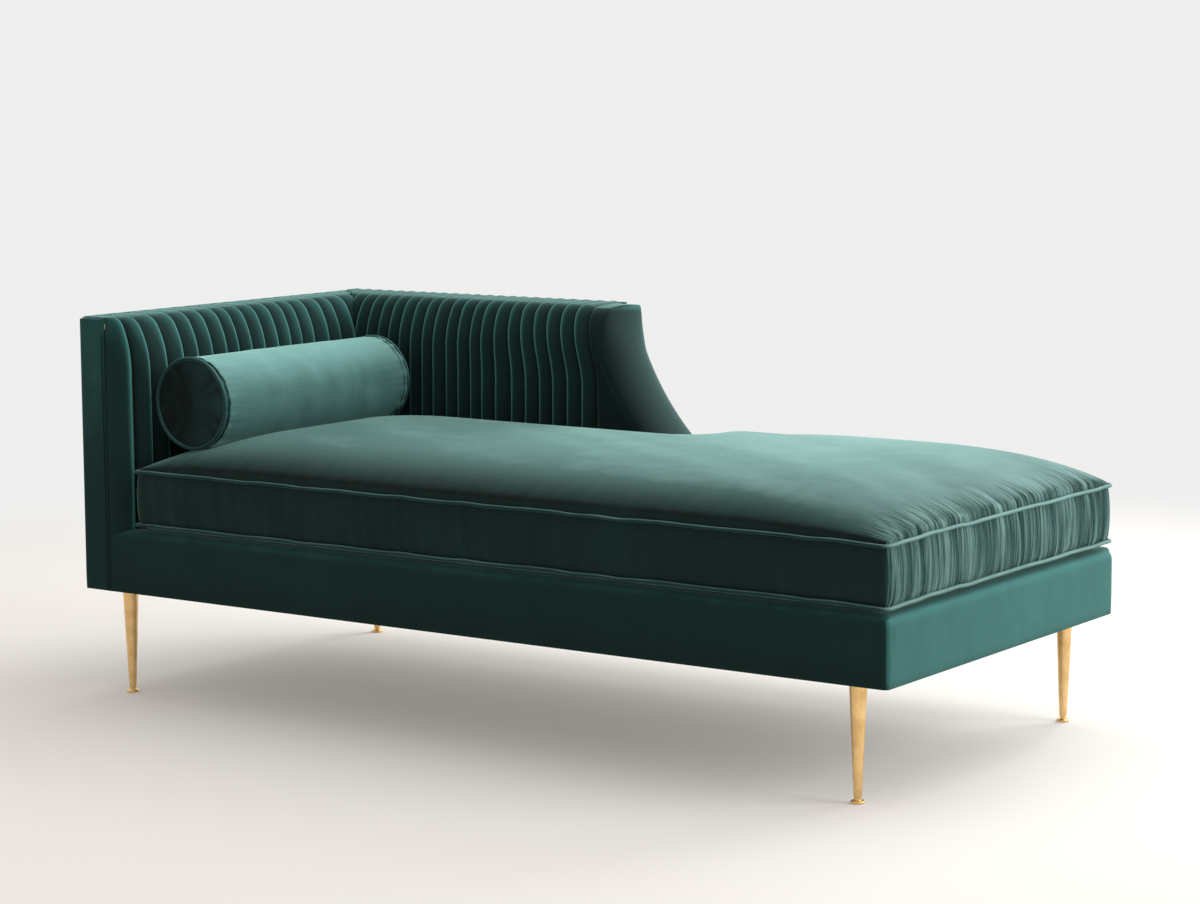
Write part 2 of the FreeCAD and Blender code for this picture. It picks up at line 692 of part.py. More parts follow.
def make_back(rail_in, rail_top):
    """Posts, rails, boards, foam, covers and piping of the back."""
    c = s.cloth
    centre = back_face + s.roll_width
    flat = rear - s.piping_radius * 2 - centre
    mitre = [(head, rear), (arm_face - s.roll_width, back_face + s.roll_width), (arm_face, back_face)]
    region = prism("back_region", "XY", [(end_seam, back_face), (end_seam, rear)] + mitre, deck - 1, top + 1)
    pitch = (end_seam - arm_face) / s.back_pleat_count
    extra = math.ceil((arm_face - head).value / pitch.value)
    sections = [roll_band(centre, -1, flat, rise, deck) for rise in (s.pleat_depth, as_size(0))]
    start = end_seam - pitch * (s.back_pleat_count + extra)
    row = pleat_row("back_pleats", "YZ", sections, start, pitch, s.back_pleat_count + extra)
    pleats = common("back_pleats_mitred", [row, region])
    PIECES["back_pleated_cover"] = cut("back_pleated_cover", pleats, [PIECES["arm_piping"]])

    depth = rear - c - s.panel
    frame_zone = box("back_hard_zone", (arm_in, back_in, deck), (end_seam, rear, frame_top))
    arm_zone = box("back_arm_zone", (head, front, deck), (arm_in, rear, frame_top))
    fill = prism("back_fill", "YZ", roll_solid(centre, -1, flat, deck), head, end_seam)
    PIECES["back_foam"] = cut("back_foam", common("back_foam_full", [fill, region]), [frame_zone, arm_zone])
    outer = nose_form("nose_outer", s.pleat_depth - s.plain_wrap_rise, as_size(0))
    inner = nose_form("nose_inner", skin, c)
    PIECES["back_end_cover"] = cut("back_end_cover", outer, [inner])
    board_low, board_high = (end_seam, back_in, deck), (nose_foot_x, back_in + s.timber, top)
    board_stock = box("end_board_stock", board_low, board_high)
    PIECES["back_end_board"] = common("back_end_board", [board_stock, inner])
    PIECES["back_end_foam"] = cut("back_end_foam", inner, [PIECES["back_end_board"]])

    beam_bottom = frame_top - s.rail_width
    blocks = {
        "back_top_rail": ((arm_in, back_in, beam_bottom), (end_seam, depth, frame_top)),
        "back_tack_rail": ((arm_in, back_in, deck), (end_seam, back_in + s.timber, deck + s.rail_width)),
        "back_panel": ((arm_in, depth, deck), (end_seam, rear - c, frame_top)),
        "back_outer_cover": ((arm_in, rear - c, deck), (end_seam, rear, top - skin)),
    }
    for name, (low, high) in blocks.items():
        PIECES[name] = box(name, low, high)
    pitch = (rail_in[1] - rail_in[0]) / s.cross_strap_count
    posts = []
    for number in BACK_POST_BAYS:
        middle = rail_in[0] + pitch * number
        low = (middle - s.rail_width / 2, back_in + s.timber, rail_top)
        posts.append(box("back_post", low, (middle + s.rail_width / 2, depth, beam_bottom)))
    PIECES["back_posts"] = group("back_posts", posts)
    r = s.piping_radius
    start = head + r * 2
    PIECES["back_piping"] = rod("back_piping", r, (start, rear - r, top - r), end_seam - start, "X")


# Seat cushion: a loose box cushion whose plan steps round the end of the back

cushion_left = arm_face + s.cushion_gap
notch_x = head + s.cushion_notch_from_head
notch_y = back_face - s.cushion_gap
lower_seam = deck + s.rest_gap + s.cushion_belly
upper_seam = lower_seam + s.boxing_height


def cushion_plan(inset, ease):
    """The stepped outline of the cushion, drawn in by an inset, its outer corners tightened by an ease."""
    inset = as_size(inset)
    r, inner = s.cushion_corner_radius - ease, s.notch_corner_radius + ease
    left, right = cushion_left + inset, foot - inset
    near_side, far_side = front + inset, rear - inset
    step_x, step_y = notch_x + inset, notch_y - inset
    return [(left + r, near_side), (right - r, near_side), (right, near_side + r, r, 1),
            (right, far_side - r), (right - r, far_side, r, 1), (step_x + r, far_side),
            (step_x, far_side - r, r, 1), (step_x, step_y + inner), (step_x - inner, step_y, inner, -1),
            (left + r, step_y), (left, step_y - r, r, 1), (left, near_side + r),
            (left + r, near_side, r, 1)][1:]


def cushion_stack(label, levels, ease):
    """A body through level copies of the cushion's plan, given as (inset, height), with its corner ease."""
    body = new_body(label)
    sketches = []
    for number, (inset, height) in enumerate(levels):
        sketch = sketch_on(body, "XY", height, f"{label}_sketch_{number}")
        draw_outline(sketch, cushion_plan(inset, ease))
        sketches.append(sketch)
    loft = body.newObject("PartDesign::AdditiveLoft", label + "_loft")
    loft.Profile = sketches[0]
    loft.Sections = sketches[1:]
    loft.Ruled = True
    return body


# Shares of the crown's run and height, from its seam to the middle of the cushion
CROWN_STEPS = ((0, 0), (0.025, 0.3), (0.1, 0.52), (0.3, 0.76), (0.62, 0.93), (1, 1))
BELLY_STEPS = ((1, 0), (0.35, 0.4), (0, 1))


def cushion_form(label, inset):
    """The whole cushion's outer form, drawn in by an inset."""
    inset = as_size(inset)
    run = s.belly_run
    edge = s.welt_proud + inset
    levels = [(edge + run * out, deck + s.rest_gap + inset + (s.cushion_belly - inset) * up)
              for out, up in BELLY_STEPS]
    levels += [(edge + s.crown_run * out, upper_seam + (s.cushion_crown - inset) * up)
               for out, up in CROWN_STEPS]
    return cut(label, cushion_stack(label + "_stack", levels, edge), [bolster_dent(label, inset)])


def bolster_place():
    """The bolster's axis across and up, and where it starts."""
    x = arm_face + s.cushion_gap + s.bolster_radius
    level = upper_seam + s.cushion_crown * s.bolster_crown_share - s.bolster_sink
    return x, level + s.bolster_radius, front + s.bolster_from_front


def bolster_dent(label, inset):
    """The hollow that the bolster presses into the cushion."""
    x, level, start = bolster_place()
    reach = s.dent_margin + inset
    radius = s.bolster_radius + s.rest_gap + inset
    return rod(label + "_dent", radius, (x, start - reach, level), s.bolster_length + reach * 2, "Y")


def welt(label, height):
    """A piped seam round the cushion's edge."""
    body = new_body(label)
    r = s.welt_radius
    path = sketch_on(body, "XY", height, label + "_path")
    draw_outline(path, cushion_plan(r, r))
    profile = sketch_on(body, "YZ", 0, label + "_profile")
    ring = profile.addGeometry(Part.Circle(FreeCAD.Vector((front + r).value, as_size(height).value, 0),
                                           FreeCAD.Vector(0, 0, 1), r.value), False)
    bind(profile, f"Constraints[{profile.addConstraint(Sketcher.Constraint('Radius', ring, r.value))}]", r)
    place_point(profile, ring, 3, (front + r, as_size(height)))
    pipe = body.newObject("PartDesign::AdditivePipe", label + "_pipe")
    pipe.Profile = profile
    pipe.Spine = path
    return body


def make_cushion():
    """Core, wadding, panels, boxing, welts and zip of the seat cushion."""
    c = s.cloth
    outer = cushion_form("cushion_outer", 0)
    inner = cushion_form("cushion_inner", c)
    welts = [welt("cushion_welt_bottom", lower_seam), welt("cushion_welt_top", upper_seam)]
    PIECES["cushion_welt_bottom"], PIECES["cushion_welt_top"] = welts
    low_y, high_y = notch_y - s.welt_proud - c, notch_y - s.welt_proud
    zip_x = (cushion_left + notch_x) / 2
    zip_z = (lower_seam + upper_seam) / 2
    zip_low = (zip_x - s.zip_length / 2, low_y, zip_z - s.zip_width / 2)
    zip_high = (zip_x + s.zip_length / 2, high_y, zip_z + s.zip_width / 2)
    PIECES["cushion_zip"] = box("cushion_zip", zip_low, zip_high)
    skin_form = cut("cushion_skin", outer, [inner] + welts + [PIECES["cushion_zip"]])
    bands = {"cushion_bottom_panel": (deck, lower_seam), "cushion_boxing": (lower_seam, upper_seam),
             "cushion_top_panel": (upper_seam, top)}
    for name, (low, high) in bands.items():
        band = box(name + "_band", (head, front, low), (foot, rear, high))
        PIECES[name] = common(name, [skin_form, band])
    w = s.wadding
    edge = s.welt_proud + c
    core_levels = [(edge + w, lower_seam), (edge + w, upper_seam), (edge + w * 3, upper_seam + w * 2)]
    core = cushion_stack("cushion_core_stack", core_levels, edge)
    PIECES["cushion_core"] = cut("cushion_core", core, [bolster_dent("cushion_core", c + w)])
    PIECES["cushion_wadding"] = cut("cushion_wadding", inner, [PIECES["cushion_core"]] + welts)


def make_bolster():
    """Filling, cover, end discs and piping of the bolster."""
    c, r = s.cloth, s.bolster_piping_radius
    x, level, start = bolster_place()
    end = start + s.bolster_length
    rings = []
    for y in (start + r, end - r):
        ring = doc.addObject("Part::Torus", "bolster_ring")
        ring.Placement = FreeCAD.Placement(FreeCAD.Vector(), FreeCAD.Rotation(FreeCAD.Vector(1, 0, 0), 90))
        bind(ring, "Radius1", s.bolster_radius - r)
        bind(ring, "Radius2", r)
        for axis, value in zip("xyz", (x, y, level)):
            bind(ring, f"Placement.Base.{axis}", value)
        rings.append(ring)
    PIECES["bolster_piping"] = group("bolster_piping", rings)
    inside = s.bolster_radius - r * 2
    tube = rod("bolster_tube", s.bolster_radius, (x, start + r, level), s.bolster_length - r * 2, "Y")
    bore = rod("bolster_bore", s.bolster_radius - c, (x, start, level), s.bolster_length, "Y")
    PIECES["bolster_cover"] = cut("bolster_cover", tube, [bore] + rings)
    discs = [rod("bolster_disc", inside, (x, y, level), c, "Y") for y in (start + r, end - r - c)]
    PIECES["bolster_ends"] = group("bolster_ends", discs)
    core_radius, core_length = s.bolster_radius - c, s.bolster_length - r * 2
    core = rod("bolster_core_stock", core_radius, (x, start + r, level), core_length, "Y")
    PIECES["bolster_core"] = cut("bolster_core", core, discs + rings)


def make_legs():
    """Four legs with their plates, screws, studs and feet."""
    plates, screws, studs = [], [], []
    for (end, side), name in zip(leg_corners(), ("front_left", "front_right", "back_left", "back_right")):
        plate, plate_screws, stud = make_leg(end, side, name)
        plates.append(plate)
        screws += plate_screws
        studs.append(stud)
    PIECES["leg_plates"] = group("leg_plates", plates)
    PIECES["plate_screws"] = group("plate_screws", screws)
    PIECES["leg_studs"] = group("leg_studs", studs)
    drilled = ["base_front_rail", "base_back_rail", "base_head_rail", "base_foot_rail", "corner_blocks",
               "base_cover", "dust_cover", "arm_outer_cover", "arm_panel"]
    holes = fuse("leg_fastener_holes", screws + studs)
    for name in drilled:
        PIECES[name].Label = name + "_undrilled"
        PIECES[name] = cut(name, PIECES[name], [holes])


def finish_pieces():
    """Check every object and write each piece to its file."""
    doc.recompute()
    for thing in doc.Objects:
        if {"Invalid", "Error"} & set(thing.State):
            raise RuntimeError(f"{thing.Label} failed to build")
    os.makedirs("parts", exist_ok=True)
    for name, piece in PIECES.items():
        piece.Label = name
        if piece.Label != name:
            raise RuntimeError(f"another object is already called {name}")
        if piece.Shape.isNull() or not piece.Shape.isValid() or not piece.Shape.Solids:
            raise RuntimeError(f"{name} has no valid solid")
        piece.Shape.exportStep(f"parts/{name}.step")


rail_in, rail_top = make_base()
make_arm(rail_top)
make_back(rail_in, rail_top)
make_cushion()
make_bolster()
make_legs()
finish_pieces()
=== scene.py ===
"""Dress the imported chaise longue: velvet covers, seat cushion, bolster, brass legs and a plain studio."""

import logging
import math
from contextlib import contextmanager
from dataclasses import dataclass, field
from enum import Enum
from typing import Callable, Iterator, Sequence

import bpy
import numpy as np
from mathutils import Euler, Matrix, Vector


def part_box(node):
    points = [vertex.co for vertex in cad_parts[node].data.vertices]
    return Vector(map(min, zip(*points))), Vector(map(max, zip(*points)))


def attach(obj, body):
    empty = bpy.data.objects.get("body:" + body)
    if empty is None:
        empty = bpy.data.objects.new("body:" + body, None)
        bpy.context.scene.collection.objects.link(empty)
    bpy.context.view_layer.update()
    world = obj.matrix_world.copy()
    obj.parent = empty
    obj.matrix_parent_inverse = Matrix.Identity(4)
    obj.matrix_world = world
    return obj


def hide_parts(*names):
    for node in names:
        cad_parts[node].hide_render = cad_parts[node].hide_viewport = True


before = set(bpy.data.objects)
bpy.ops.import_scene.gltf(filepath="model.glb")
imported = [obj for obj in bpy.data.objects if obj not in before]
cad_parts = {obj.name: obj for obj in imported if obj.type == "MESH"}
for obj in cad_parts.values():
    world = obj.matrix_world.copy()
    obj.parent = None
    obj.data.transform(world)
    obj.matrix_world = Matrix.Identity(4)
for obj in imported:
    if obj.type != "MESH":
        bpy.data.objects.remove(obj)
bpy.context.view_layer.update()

Points = np.ndarray
Laid = tuple[Points, Points]
Piece = bpy.types.Object
Socket = bpy.types.NodeSocket
Colour = tuple[float, float, float]

log = logging.getLogger("chaise_longue")


# Hand moves that every piece is made with


def deselect() -> None:
    """Leave edit mode and select nothing."""
    if bpy.context.object and bpy.context.object.mode != "OBJECT":
        bpy.ops.object.mode_set(mode="OBJECT")
    bpy.ops.object.select_all(action="DESELECT")


def take(piece: Piece) -> None:
    """Select one piece alone and make it active."""
    deselect()
    piece.select_set(True)
    bpy.context.view_layer.objects.active = piece


def named(name: str) -> Piece:
    """Name the primitive that was just added, and its mesh."""
    piece = bpy.context.object
    piece.name = name
    piece.data.name = name
    return piece


@contextmanager
def edited(piece: Piece, kind: str = "FACE",
           chosen: Callable[[object], bool] | None = None) -> Iterator[None]:
    """Open a piece in edit mode with all of it, or only the chosen faces or edges, selected.

    Args:
        piece: The mesh object.
        kind: FACE or EDGE.
        chosen: Says whether one face or edge is selected. Without it everything is.
    """
    take(piece)
    bpy.ops.object.mode_set(mode="EDIT")
    bpy.ops.mesh.select_mode(type=kind)
    bpy.ops.mesh.select_all(action="DESELECT" if chosen else "SELECT")
    if chosen:
        bpy.ops.object.mode_set(mode="OBJECT")
        for item in piece.data.polygons if kind == "FACE" else piece.data.edges:
            item.select = bool(chosen(item))
        bpy.ops.object.mode_set(mode="EDIT")
    yield
    bpy.ops.object.mode_set(mode="OBJECT")


def slice_across(piece: Piece, axis: str, places: Sequence[float]) -> None:
    """Cut a piece's faces across an axis at each place, so that the cloth can move between the cuts."""
    normal = [float(axis == name) for name in "xyz"]
    with edited(piece):
        for place in places:
            bpy.ops.mesh.select_all(action="SELECT")
            bpy.ops.mesh.bisect(plane_co=[part * float(place) for part in normal], plane_no=normal)


def cut_at(piece: Piece, place: Sequence[float], normal: Sequence[float]) -> None:
    """Cut a sheet at a plane and drop what lies past it."""
    with edited(piece):
        bpy.ops.mesh.bisect(plane_co=place, plane_no=normal, clear_outer=True)


def turn_over(piece: Piece) -> None:
    """Turn a sheet's faces to its other side."""
    with edited(piece):
        bpy.ops.mesh.flip_normals()


def joined(name: str, pieces: Sequence[Piece]) -> Piece:
    """Join pieces into one under a new name."""
    take(pieces[0])
    for piece in pieces[1:]:
        piece.select_set(True)
    bpy.ops.object.join()
    return named(name)


def settle(piece: Piece) -> None:
    """Put a piece's place, turn and scale into its mesh."""
    take(piece)
    bpy.ops.object.transform_apply(location=True, rotation=True, scale=True)


def box(name: str, low: Sequence[float], high: Sequence[float]) -> Piece:
    """Add a box between two corners."""
    deselect()
    bpy.ops.mesh.primitive_cube_add(size=1, location=[(one + other) / 2 for one, other in zip(low, high)],
                                    scale=[other - one for one, other in zip(low, high)])
    piece = named(name)
    settle(piece)
    return piece


def finish_with(piece: Piece, kind: str, **settings: object) -> None:
    """Add one modifier to a piece and apply it.

    Args:
        piece: The mesh object.
        kind: Blender's name for the modifier, such as SOLIDIFY.
        **settings: Values set on the modifier.
    """
    take(piece)
    modifier = piece.modifiers.new(kind.title(), kind)
    for key, value in settings.items():
        setattr(modifier, key, value)
    bpy.ops.object.modifier_apply(modifier=modifier.name)


def read_points(piece: Piece) -> Points:
    """Return a mesh's points as an array of rows."""
    flat = np.empty(len(piece.data.vertices) * 3)
    piece.data.vertices.foreach_get("co", flat)
    return flat.reshape(-1, 3)


def write_points(piece: Piece, points: Points) -> None:
    """Move a mesh's points to the rows of an array."""
    piece.data.vertices.foreach_set("co", points.ravel())
    piece.data.update()


def read_normals(piece: Piece) -> Points:
    """Return a mesh's point normals as an array of rows."""
    flat = np.empty(len(piece.data.vertices) * 3)
    piece.data.vertices.foreach_get("normal", flat)
    return flat.reshape(-1, 3)


def paint_tone_and_light(piece: Piece, values: Points) -> None:
    """Store the tone and painted light and shade at each point, from 0, a painted shade in a fold, to 1, a
    painted highlight on a lit edge.
    """
    tone_and_painted_light = piece.data.attributes.get("tone_and_painted_light") or piece.data.attributes.new("tone_and_painted_light", "FLOAT", "POINT")
    tone_and_painted_light.data.foreach_set("value", np.clip(values, 0, 1).astype(np.float32))


def mark_gathers(piece: Piece, values: Points) -> None:
    """Store how tightly the cloth is gathered at each point, from 0 to 1."""
    gather = piece.data.attributes.new("gather", "FLOAT", "POINT")
    gather.data.foreach_set("value", np.clip(values, 0, 1).astype(np.float32))


def smooth(piece: Piece, angle: float = 40) -> None:
    """Shade a piece smooth up to an angle in degrees."""
    take(piece)
    bpy.ops.object.shade_smooth_by_angle(angle=math.radians(angle))


def mend_surface(piece: Piece, merge: float = 0.0002) -> None:
    """Merge doubled points and turn all faces outwards."""
    with edited(piece):
        bpy.ops.mesh.remove_doubles(threshold=merge)
        bpy.ops.mesh.normals_make_consistent(inside=False)


def noise_along(places: Points, wave: float, seed: int) -> Points:
    """Return smooth seeded noise along a line, from -1 to 1.

    Args:
        places: Distances along the line in metres.
        wave: The spacing of the noise in metres.
        seed: The seed, so that each run gives the same folds.
    """
    table = np.random.default_rng(seed).uniform(-1, 1, 2048)
    steps = places / wave + 512
    cell = np.floor(steps).astype(int)
    share = steps - cell
    share = share * share * (3 - 2 * share)
    return table[cell % 2048] * (1 - share) + table[(cell + 1) % 2048] * share


def eased(values: Points, start: float, end: float) -> Points:
    """Return 0 before start, 1 after end and a smooth step between."""
    share = np.clip((values - start) / (end - start), 0, 1)
    return share * share * (3 - 2 * share)


def laid_sheet(name: str, columns: int, rows: int,
               lay: Callable[[Points, Points], Laid]) -> Piece:
    """Add a grid and lay each of its points where the cloth goes.

    Args:
        name: The piece's name.
        columns: Faces across the grid.
        rows: Faces up the grid.
        lay: Gives the points and the tone with painted light and shade for shares across and up the grid.

    Returns:
        The new mesh object.
    """
    deselect()
    bpy.ops.mesh.primitive_grid_add(x_subdivisions=columns, y_subdivisions=rows, size=1)
    piece = named(name)
    grid = read_points(piece)
    points, tone_and_painted_light = lay(grid[:, 0] + 0.5, grid[:, 1] + 0.5)
    write_points(piece, points)
    paint_tone_and_light(piece, tone_and_painted_light)
    return piece


def tube(name: str, points: Sequence[Sequence[float]], radius: float, closed: bool = False) -> Piece:
    """Make a piping or thread that follows points.

    Args:
        name: The piece's name.
        points: The centreline's points in metres.
        radius: The piping's radius.
        closed: Whether it meets itself.
    """
    deselect()
    line = bpy.data.curves.new(name, "CURVE")
    line.dimensions = "3D"
    line.bevel_depth = radius
    line.bevel_resolution = 3
    line.use_fill_caps = True
    run = line.splines.new("POLY")
    run.points.add(len(points) - 1)
    for place, point in zip(run.points, points):
        place.co = (*point, 1)
    run.use_cyclic_u = closed
    piece = bpy.data.objects.new(name, line)
    bpy.context.scene.collection.objects.link(piece)
    take(piece)
    bpy.ops.object.convert(target="MESH")
    piece = named(name)
    paint_tone_and_light(piece, np.full(len(piece.data.vertices), 0.62))
    smooth(piece, 60)
    return piece


# Finishes


class Slot(Enum):
    """The record's material slots."""

    VELVET = "velvet"
    CUSHION = "cushion_velvet"
    BOLSTER = "bolster_velvet"
    PIPING = "piping"
    LINING = "lining"
    FOAM = "foam"
    STRAP = "strap"
    TIMBER = "timber"
    STEEL = "steel"
    BRASS = "brass"


class Nodes:
    """A material's node tree with short calls for the nodes that the finishes share."""

    def __init__(self, name: str) -> None:
        """Start a material with a Principled shader alone."""
        self.material = bpy.data.materials.new(name)
        self.material.use_nodes = True
        self.tree = self.material.node_tree
        self.shader = self.tree.nodes["Principled BSDF"]
        self.place = self.add("ShaderNodeTexCoord").outputs["Object"]
        self.relief = None

    def add(self, kind: str, **settings: object) -> bpy.types.Node:
        """Add a node and set its own settings."""
        node = self.tree.nodes.new(kind)
        for key, value in settings.items():
            setattr(node, key, value)
        return node

    def join(self, source: Socket, target: Socket) -> None:
        """Link two sockets."""
        self.tree.links.new(source, target)

    def stretched(self, scale: Sequence[float]) -> Socket:
        """Return object coordinates scaled along each axis."""
        mapping = self.add("ShaderNodeMapping")
        mapping.inputs["Scale"].default_value = scale
        self.join(self.place, mapping.inputs["Vector"])
        return mapping.outputs["Vector"]

    def noise(self, scale: float, detail: float = 4, rough: float = 0.55,
              vector: Socket | None = None) -> Socket:
        """Return a noise texture's factor."""
        node = self.add("ShaderNodeTexNoise")
        node.inputs["Scale"].default_value = scale
        node.inputs["Detail"].default_value = detail
        node.inputs["Roughness"].default_value = rough
        self.join(vector or self.place, node.inputs["Vector"])
        return node.outputs["Fac"]

    def ramp(self, factor: Socket, stops: Sequence[tuple[float, Colour]]) -> Socket:
        """Return a colour ramp with the given stops."""
        node = self.add("ShaderNodeValToRGB")
        band = node.color_ramp
        band.elements[0].position, band.elements[0].color = stops[0][0], (*stops[0][1], 1)
        band.elements[1].position, band.elements[1].color = stops[-1][0], (*stops[-1][1], 1)
        for position, colour in stops[1:-1]:
            band.elements.new(position).color = (*colour, 1)
        self.join(factor, node.inputs["Fac"])
        return node.outputs["Color"]

    def paint(self, colour: Socket) -> None:
        """Let a colour drive the shader's base colour."""
        self.join(colour, self.shader.inputs["Base Color"])

    def times(self, one: Socket, other: Socket) -> Socket:
        """Return two colours multiplied."""
        node = self.add("ShaderNodeMix", data_type="RGBA", blend_type="MULTIPLY")
        node.inputs[0].default_value = 1.0
        self.join(one, node.inputs[6])
        self.join(other, node.inputs[7])
        return node.outputs[2]

    def calc(self, one: Socket, other: Socket | float, kind: str = "ADD") -> Socket:
        """Return the result of adding, or another kind of sum, clamped to 0 and 1."""
        node = self.add("ShaderNodeMath", operation=kind, use_clamp=True)
        self.join(one, node.inputs[0])
        if isinstance(other, float):
            node.inputs[1].default_value = other
        else:
            self.join(other, node.inputs[1])
        return node.outputs[0]

    def bump(self, height: Socket, strength: float, distance: float) -> None:
        """Raise the surface by a height, in metres at its full strength, on top of any relief it has."""
        node = self.add("ShaderNodeBump")
        if self.relief:
            self.join(self.relief, node.inputs["Normal"])
        self.relief = node.outputs["Normal"]
        node.inputs["Strength"].default_value = strength
        node.inputs["Distance"].default_value = distance
        self.join(height, node.inputs["Height"])
        self.join(node.outputs["Normal"], self.shader.inputs["Normal"])

    def set(self, **values: object) -> None:
        """Set constants on the shader's own sockets, with _ for a space."""
        for key, value in values.items():
            self.shader.inputs[key.replace("_", " ")].default_value = value


@dataclass(frozen=True)
class Velvet:
    """Short-pile velvet: a painted shade in its folds, a painted highlight on its lit edges, and paler
    streaks where it is brushed.
    """

    name: str
    # deep is the painted shade colour and light the painted highlight colour; body is the velvet's plain
    # colour.
    deep: Colour = (0.0012, 0.0045, 0.0042)
    body: Colour = (0.0055, 0.0300, 0.0278)
    light: Colour = (0.050, 0.198, 0.186)
    gather: tuple[float, float, float] = (60, 60, 8)
    patch: float = 5.0
    sheen: float = 0.55

    def material(self) -> bpy.types.Material:
        """Build the velvet."""
        nodes = Nodes(self.name)
        # The stored painted light and shade: painted shade in folds up to a painted highlight on lit edges.
        tone_and_painted_light = nodes.add("ShaderNodeAttribute", attribute_name="tone_and_painted_light").outputs["Fac"]
        cloud = nodes.noise(self.patch, 3, 0.5)
        streak = nodes.noise(1.0, 3, 0.5, nodes.stretched((26, 26, 9)))
        shift = nodes.calc(nodes.calc(cloud, -0.5), 0.34, "MULTIPLY")
        level = nodes.calc(nodes.calc(tone_and_painted_light, shift), nodes.calc(streak, 0.12, "MULTIPLY"))
        # Gathers: painted highlights along the fold lines and painted shade over the gathered cloth, besides
        # the bump below.
        drawn = nodes.add("ShaderNodeAttribute", attribute_name="gather").outputs["Fac"]
        threads = nodes.ramp(nodes.noise(1.0, 3, 0.62, nodes.stretched(self.gather)),
                             [(0.36, (0, 0, 0)), (0.64, (1, 1, 1))])
        lines = nodes.calc(threads, drawn, "MULTIPLY")
        level = nodes.calc(level, nodes.calc(lines, 0.30, "MULTIPLY"))
        level = nodes.calc(level, nodes.calc(drawn, 0.15, "MULTIPLY"), "SUBTRACT")
        colour = nodes.ramp(level, [(0.04, self.deep), (0.50, self.body), (0.95, self.light)])
        pile = nodes.noise(1900, 2, 0.6)
        grain = nodes.ramp(pile, [(0.25, (0.80, 0.80, 0.80)), (0.8, (1.0, 1.0, 1.0))])
        nodes.paint(nodes.times(colour, grain))
        nodes.bump(lines, 0.6, 0.0025)
        nodes.bump(nodes.calc(pile, nodes.noise(60, 3, 0.5)), 0.25, 0.0006)
        nodes.set(Roughness=0.86, Specular_IOR_Level=0.16, Sheen_Weight=self.sheen, Sheen_Roughness=0.34,
                  Sheen_Tint=(0.42, 0.80, 0.74, 1))
        return nodes.material


@dataclass(frozen=True)
class BrushedMetal:
    """Metal with fine lines along its length and a few handling marks."""

    name: str
    colour: Colour = (0.86, 0.58, 0.27)
    dark: Colour = (0.66, 0.41, 0.16)
    roughness: float = 0.27
    lines: tuple[float, float, float] = (900, 900, 14)

    def material(self) -> bpy.types.Material:
        """Build the metal."""
        nodes = Nodes(self.name)
        lines = nodes.noise(1.0, 2, 0.5, nodes.stretched(self.lines))
        marks = nodes.noise(38, 4, 0.6)
        nodes.paint(nodes.ramp(marks, [(0.3, self.dark), (0.62, self.colour)]))
        rough = nodes.ramp(lines, [(0.3, (self.roughness * 0.75,) * 3), (0.7, (self.roughness * 1.35,) * 3)])
        nodes.join(rough, nodes.shader.inputs["Roughness"])
        nodes.bump(lines, 0.12, 0.0002)
        nodes.set(Metallic=1.0)
        return nodes.material


@dataclass(frozen=True)
class Timber:
    """Plain sawn frame timber with growth lines along its length."""

    name: str
    pale: Colour = (0.55, 0.36, 0.19)
    dark: Colour = (0.36, 0.20, 0.09)

    def material(self) -> bpy.types.Material:
        """Build the timber."""
        nodes = Nodes(self.name)
        rings = nodes.noise(1.0, 5, 0.6, nodes.stretched((7, 60, 60)))
        nodes.paint(nodes.ramp(rings, [(0.32, self.dark), (0.66, self.pale)]))
        nodes.bump(rings, 0.3, 0.0006)
        nodes.set(Roughness=0.7)
        return nodes.material


@dataclass(frozen=True)
class Foam:
    """Open upholstery foam with fine cells."""

    name: str
    colour: Colour = (0.74, 0.68, 0.50)

    def material(self) -> bpy.types.Material:
        """Build the foam."""
        nodes = Nodes(self.name)
        cells = nodes.add("ShaderNodeTexVoronoi")
        cells.inputs["Scale"].default_value = 420
        nodes.join(nodes.place, cells.inputs["Vector"])
        shade = tuple(part * 0.72 for part in self.colour)
        nodes.paint(nodes.ramp(cells.outputs["Distance"], [(0.1, shade), (0.55, self.colour)]))
        nodes.bump(cells.outputs["Distance"], 0.5, 0.001)
        nodes.set(Roughness=0.95)
        return nodes.material


@dataclass(frozen=True)
class Woven:
    """Woven cloth or webbing: two sets of threads over and under."""

    name: str
    colour: Colour
    other: Colour
    threads: float = 700

    def material(self) -> bpy.types.Material:
        """Build the weave."""
        nodes = Nodes(self.name)
        heights = []
        for axis in ("X", "Y"):
            wave = nodes.add("ShaderNodeTexWave", bands_direction=axis)
            wave.inputs["Scale"].default_value = self.threads
            nodes.join(nodes.place, wave.inputs["Vector"])
            heights.append(wave.outputs["Fac"])
        weave = nodes.calc(heights[0], heights[1], "MULTIPLY")
        fade = nodes.noise(24, 3, 0.5)
        nodes.paint(nodes.ramp(nodes.calc(weave, fade, "MULTIPLY"), [(0.05, self.other), (0.5, self.colour)]))
        nodes.bump(weave, 0.4, 0.0004)
        nodes.set(Roughness=0.9)
        return nodes.material


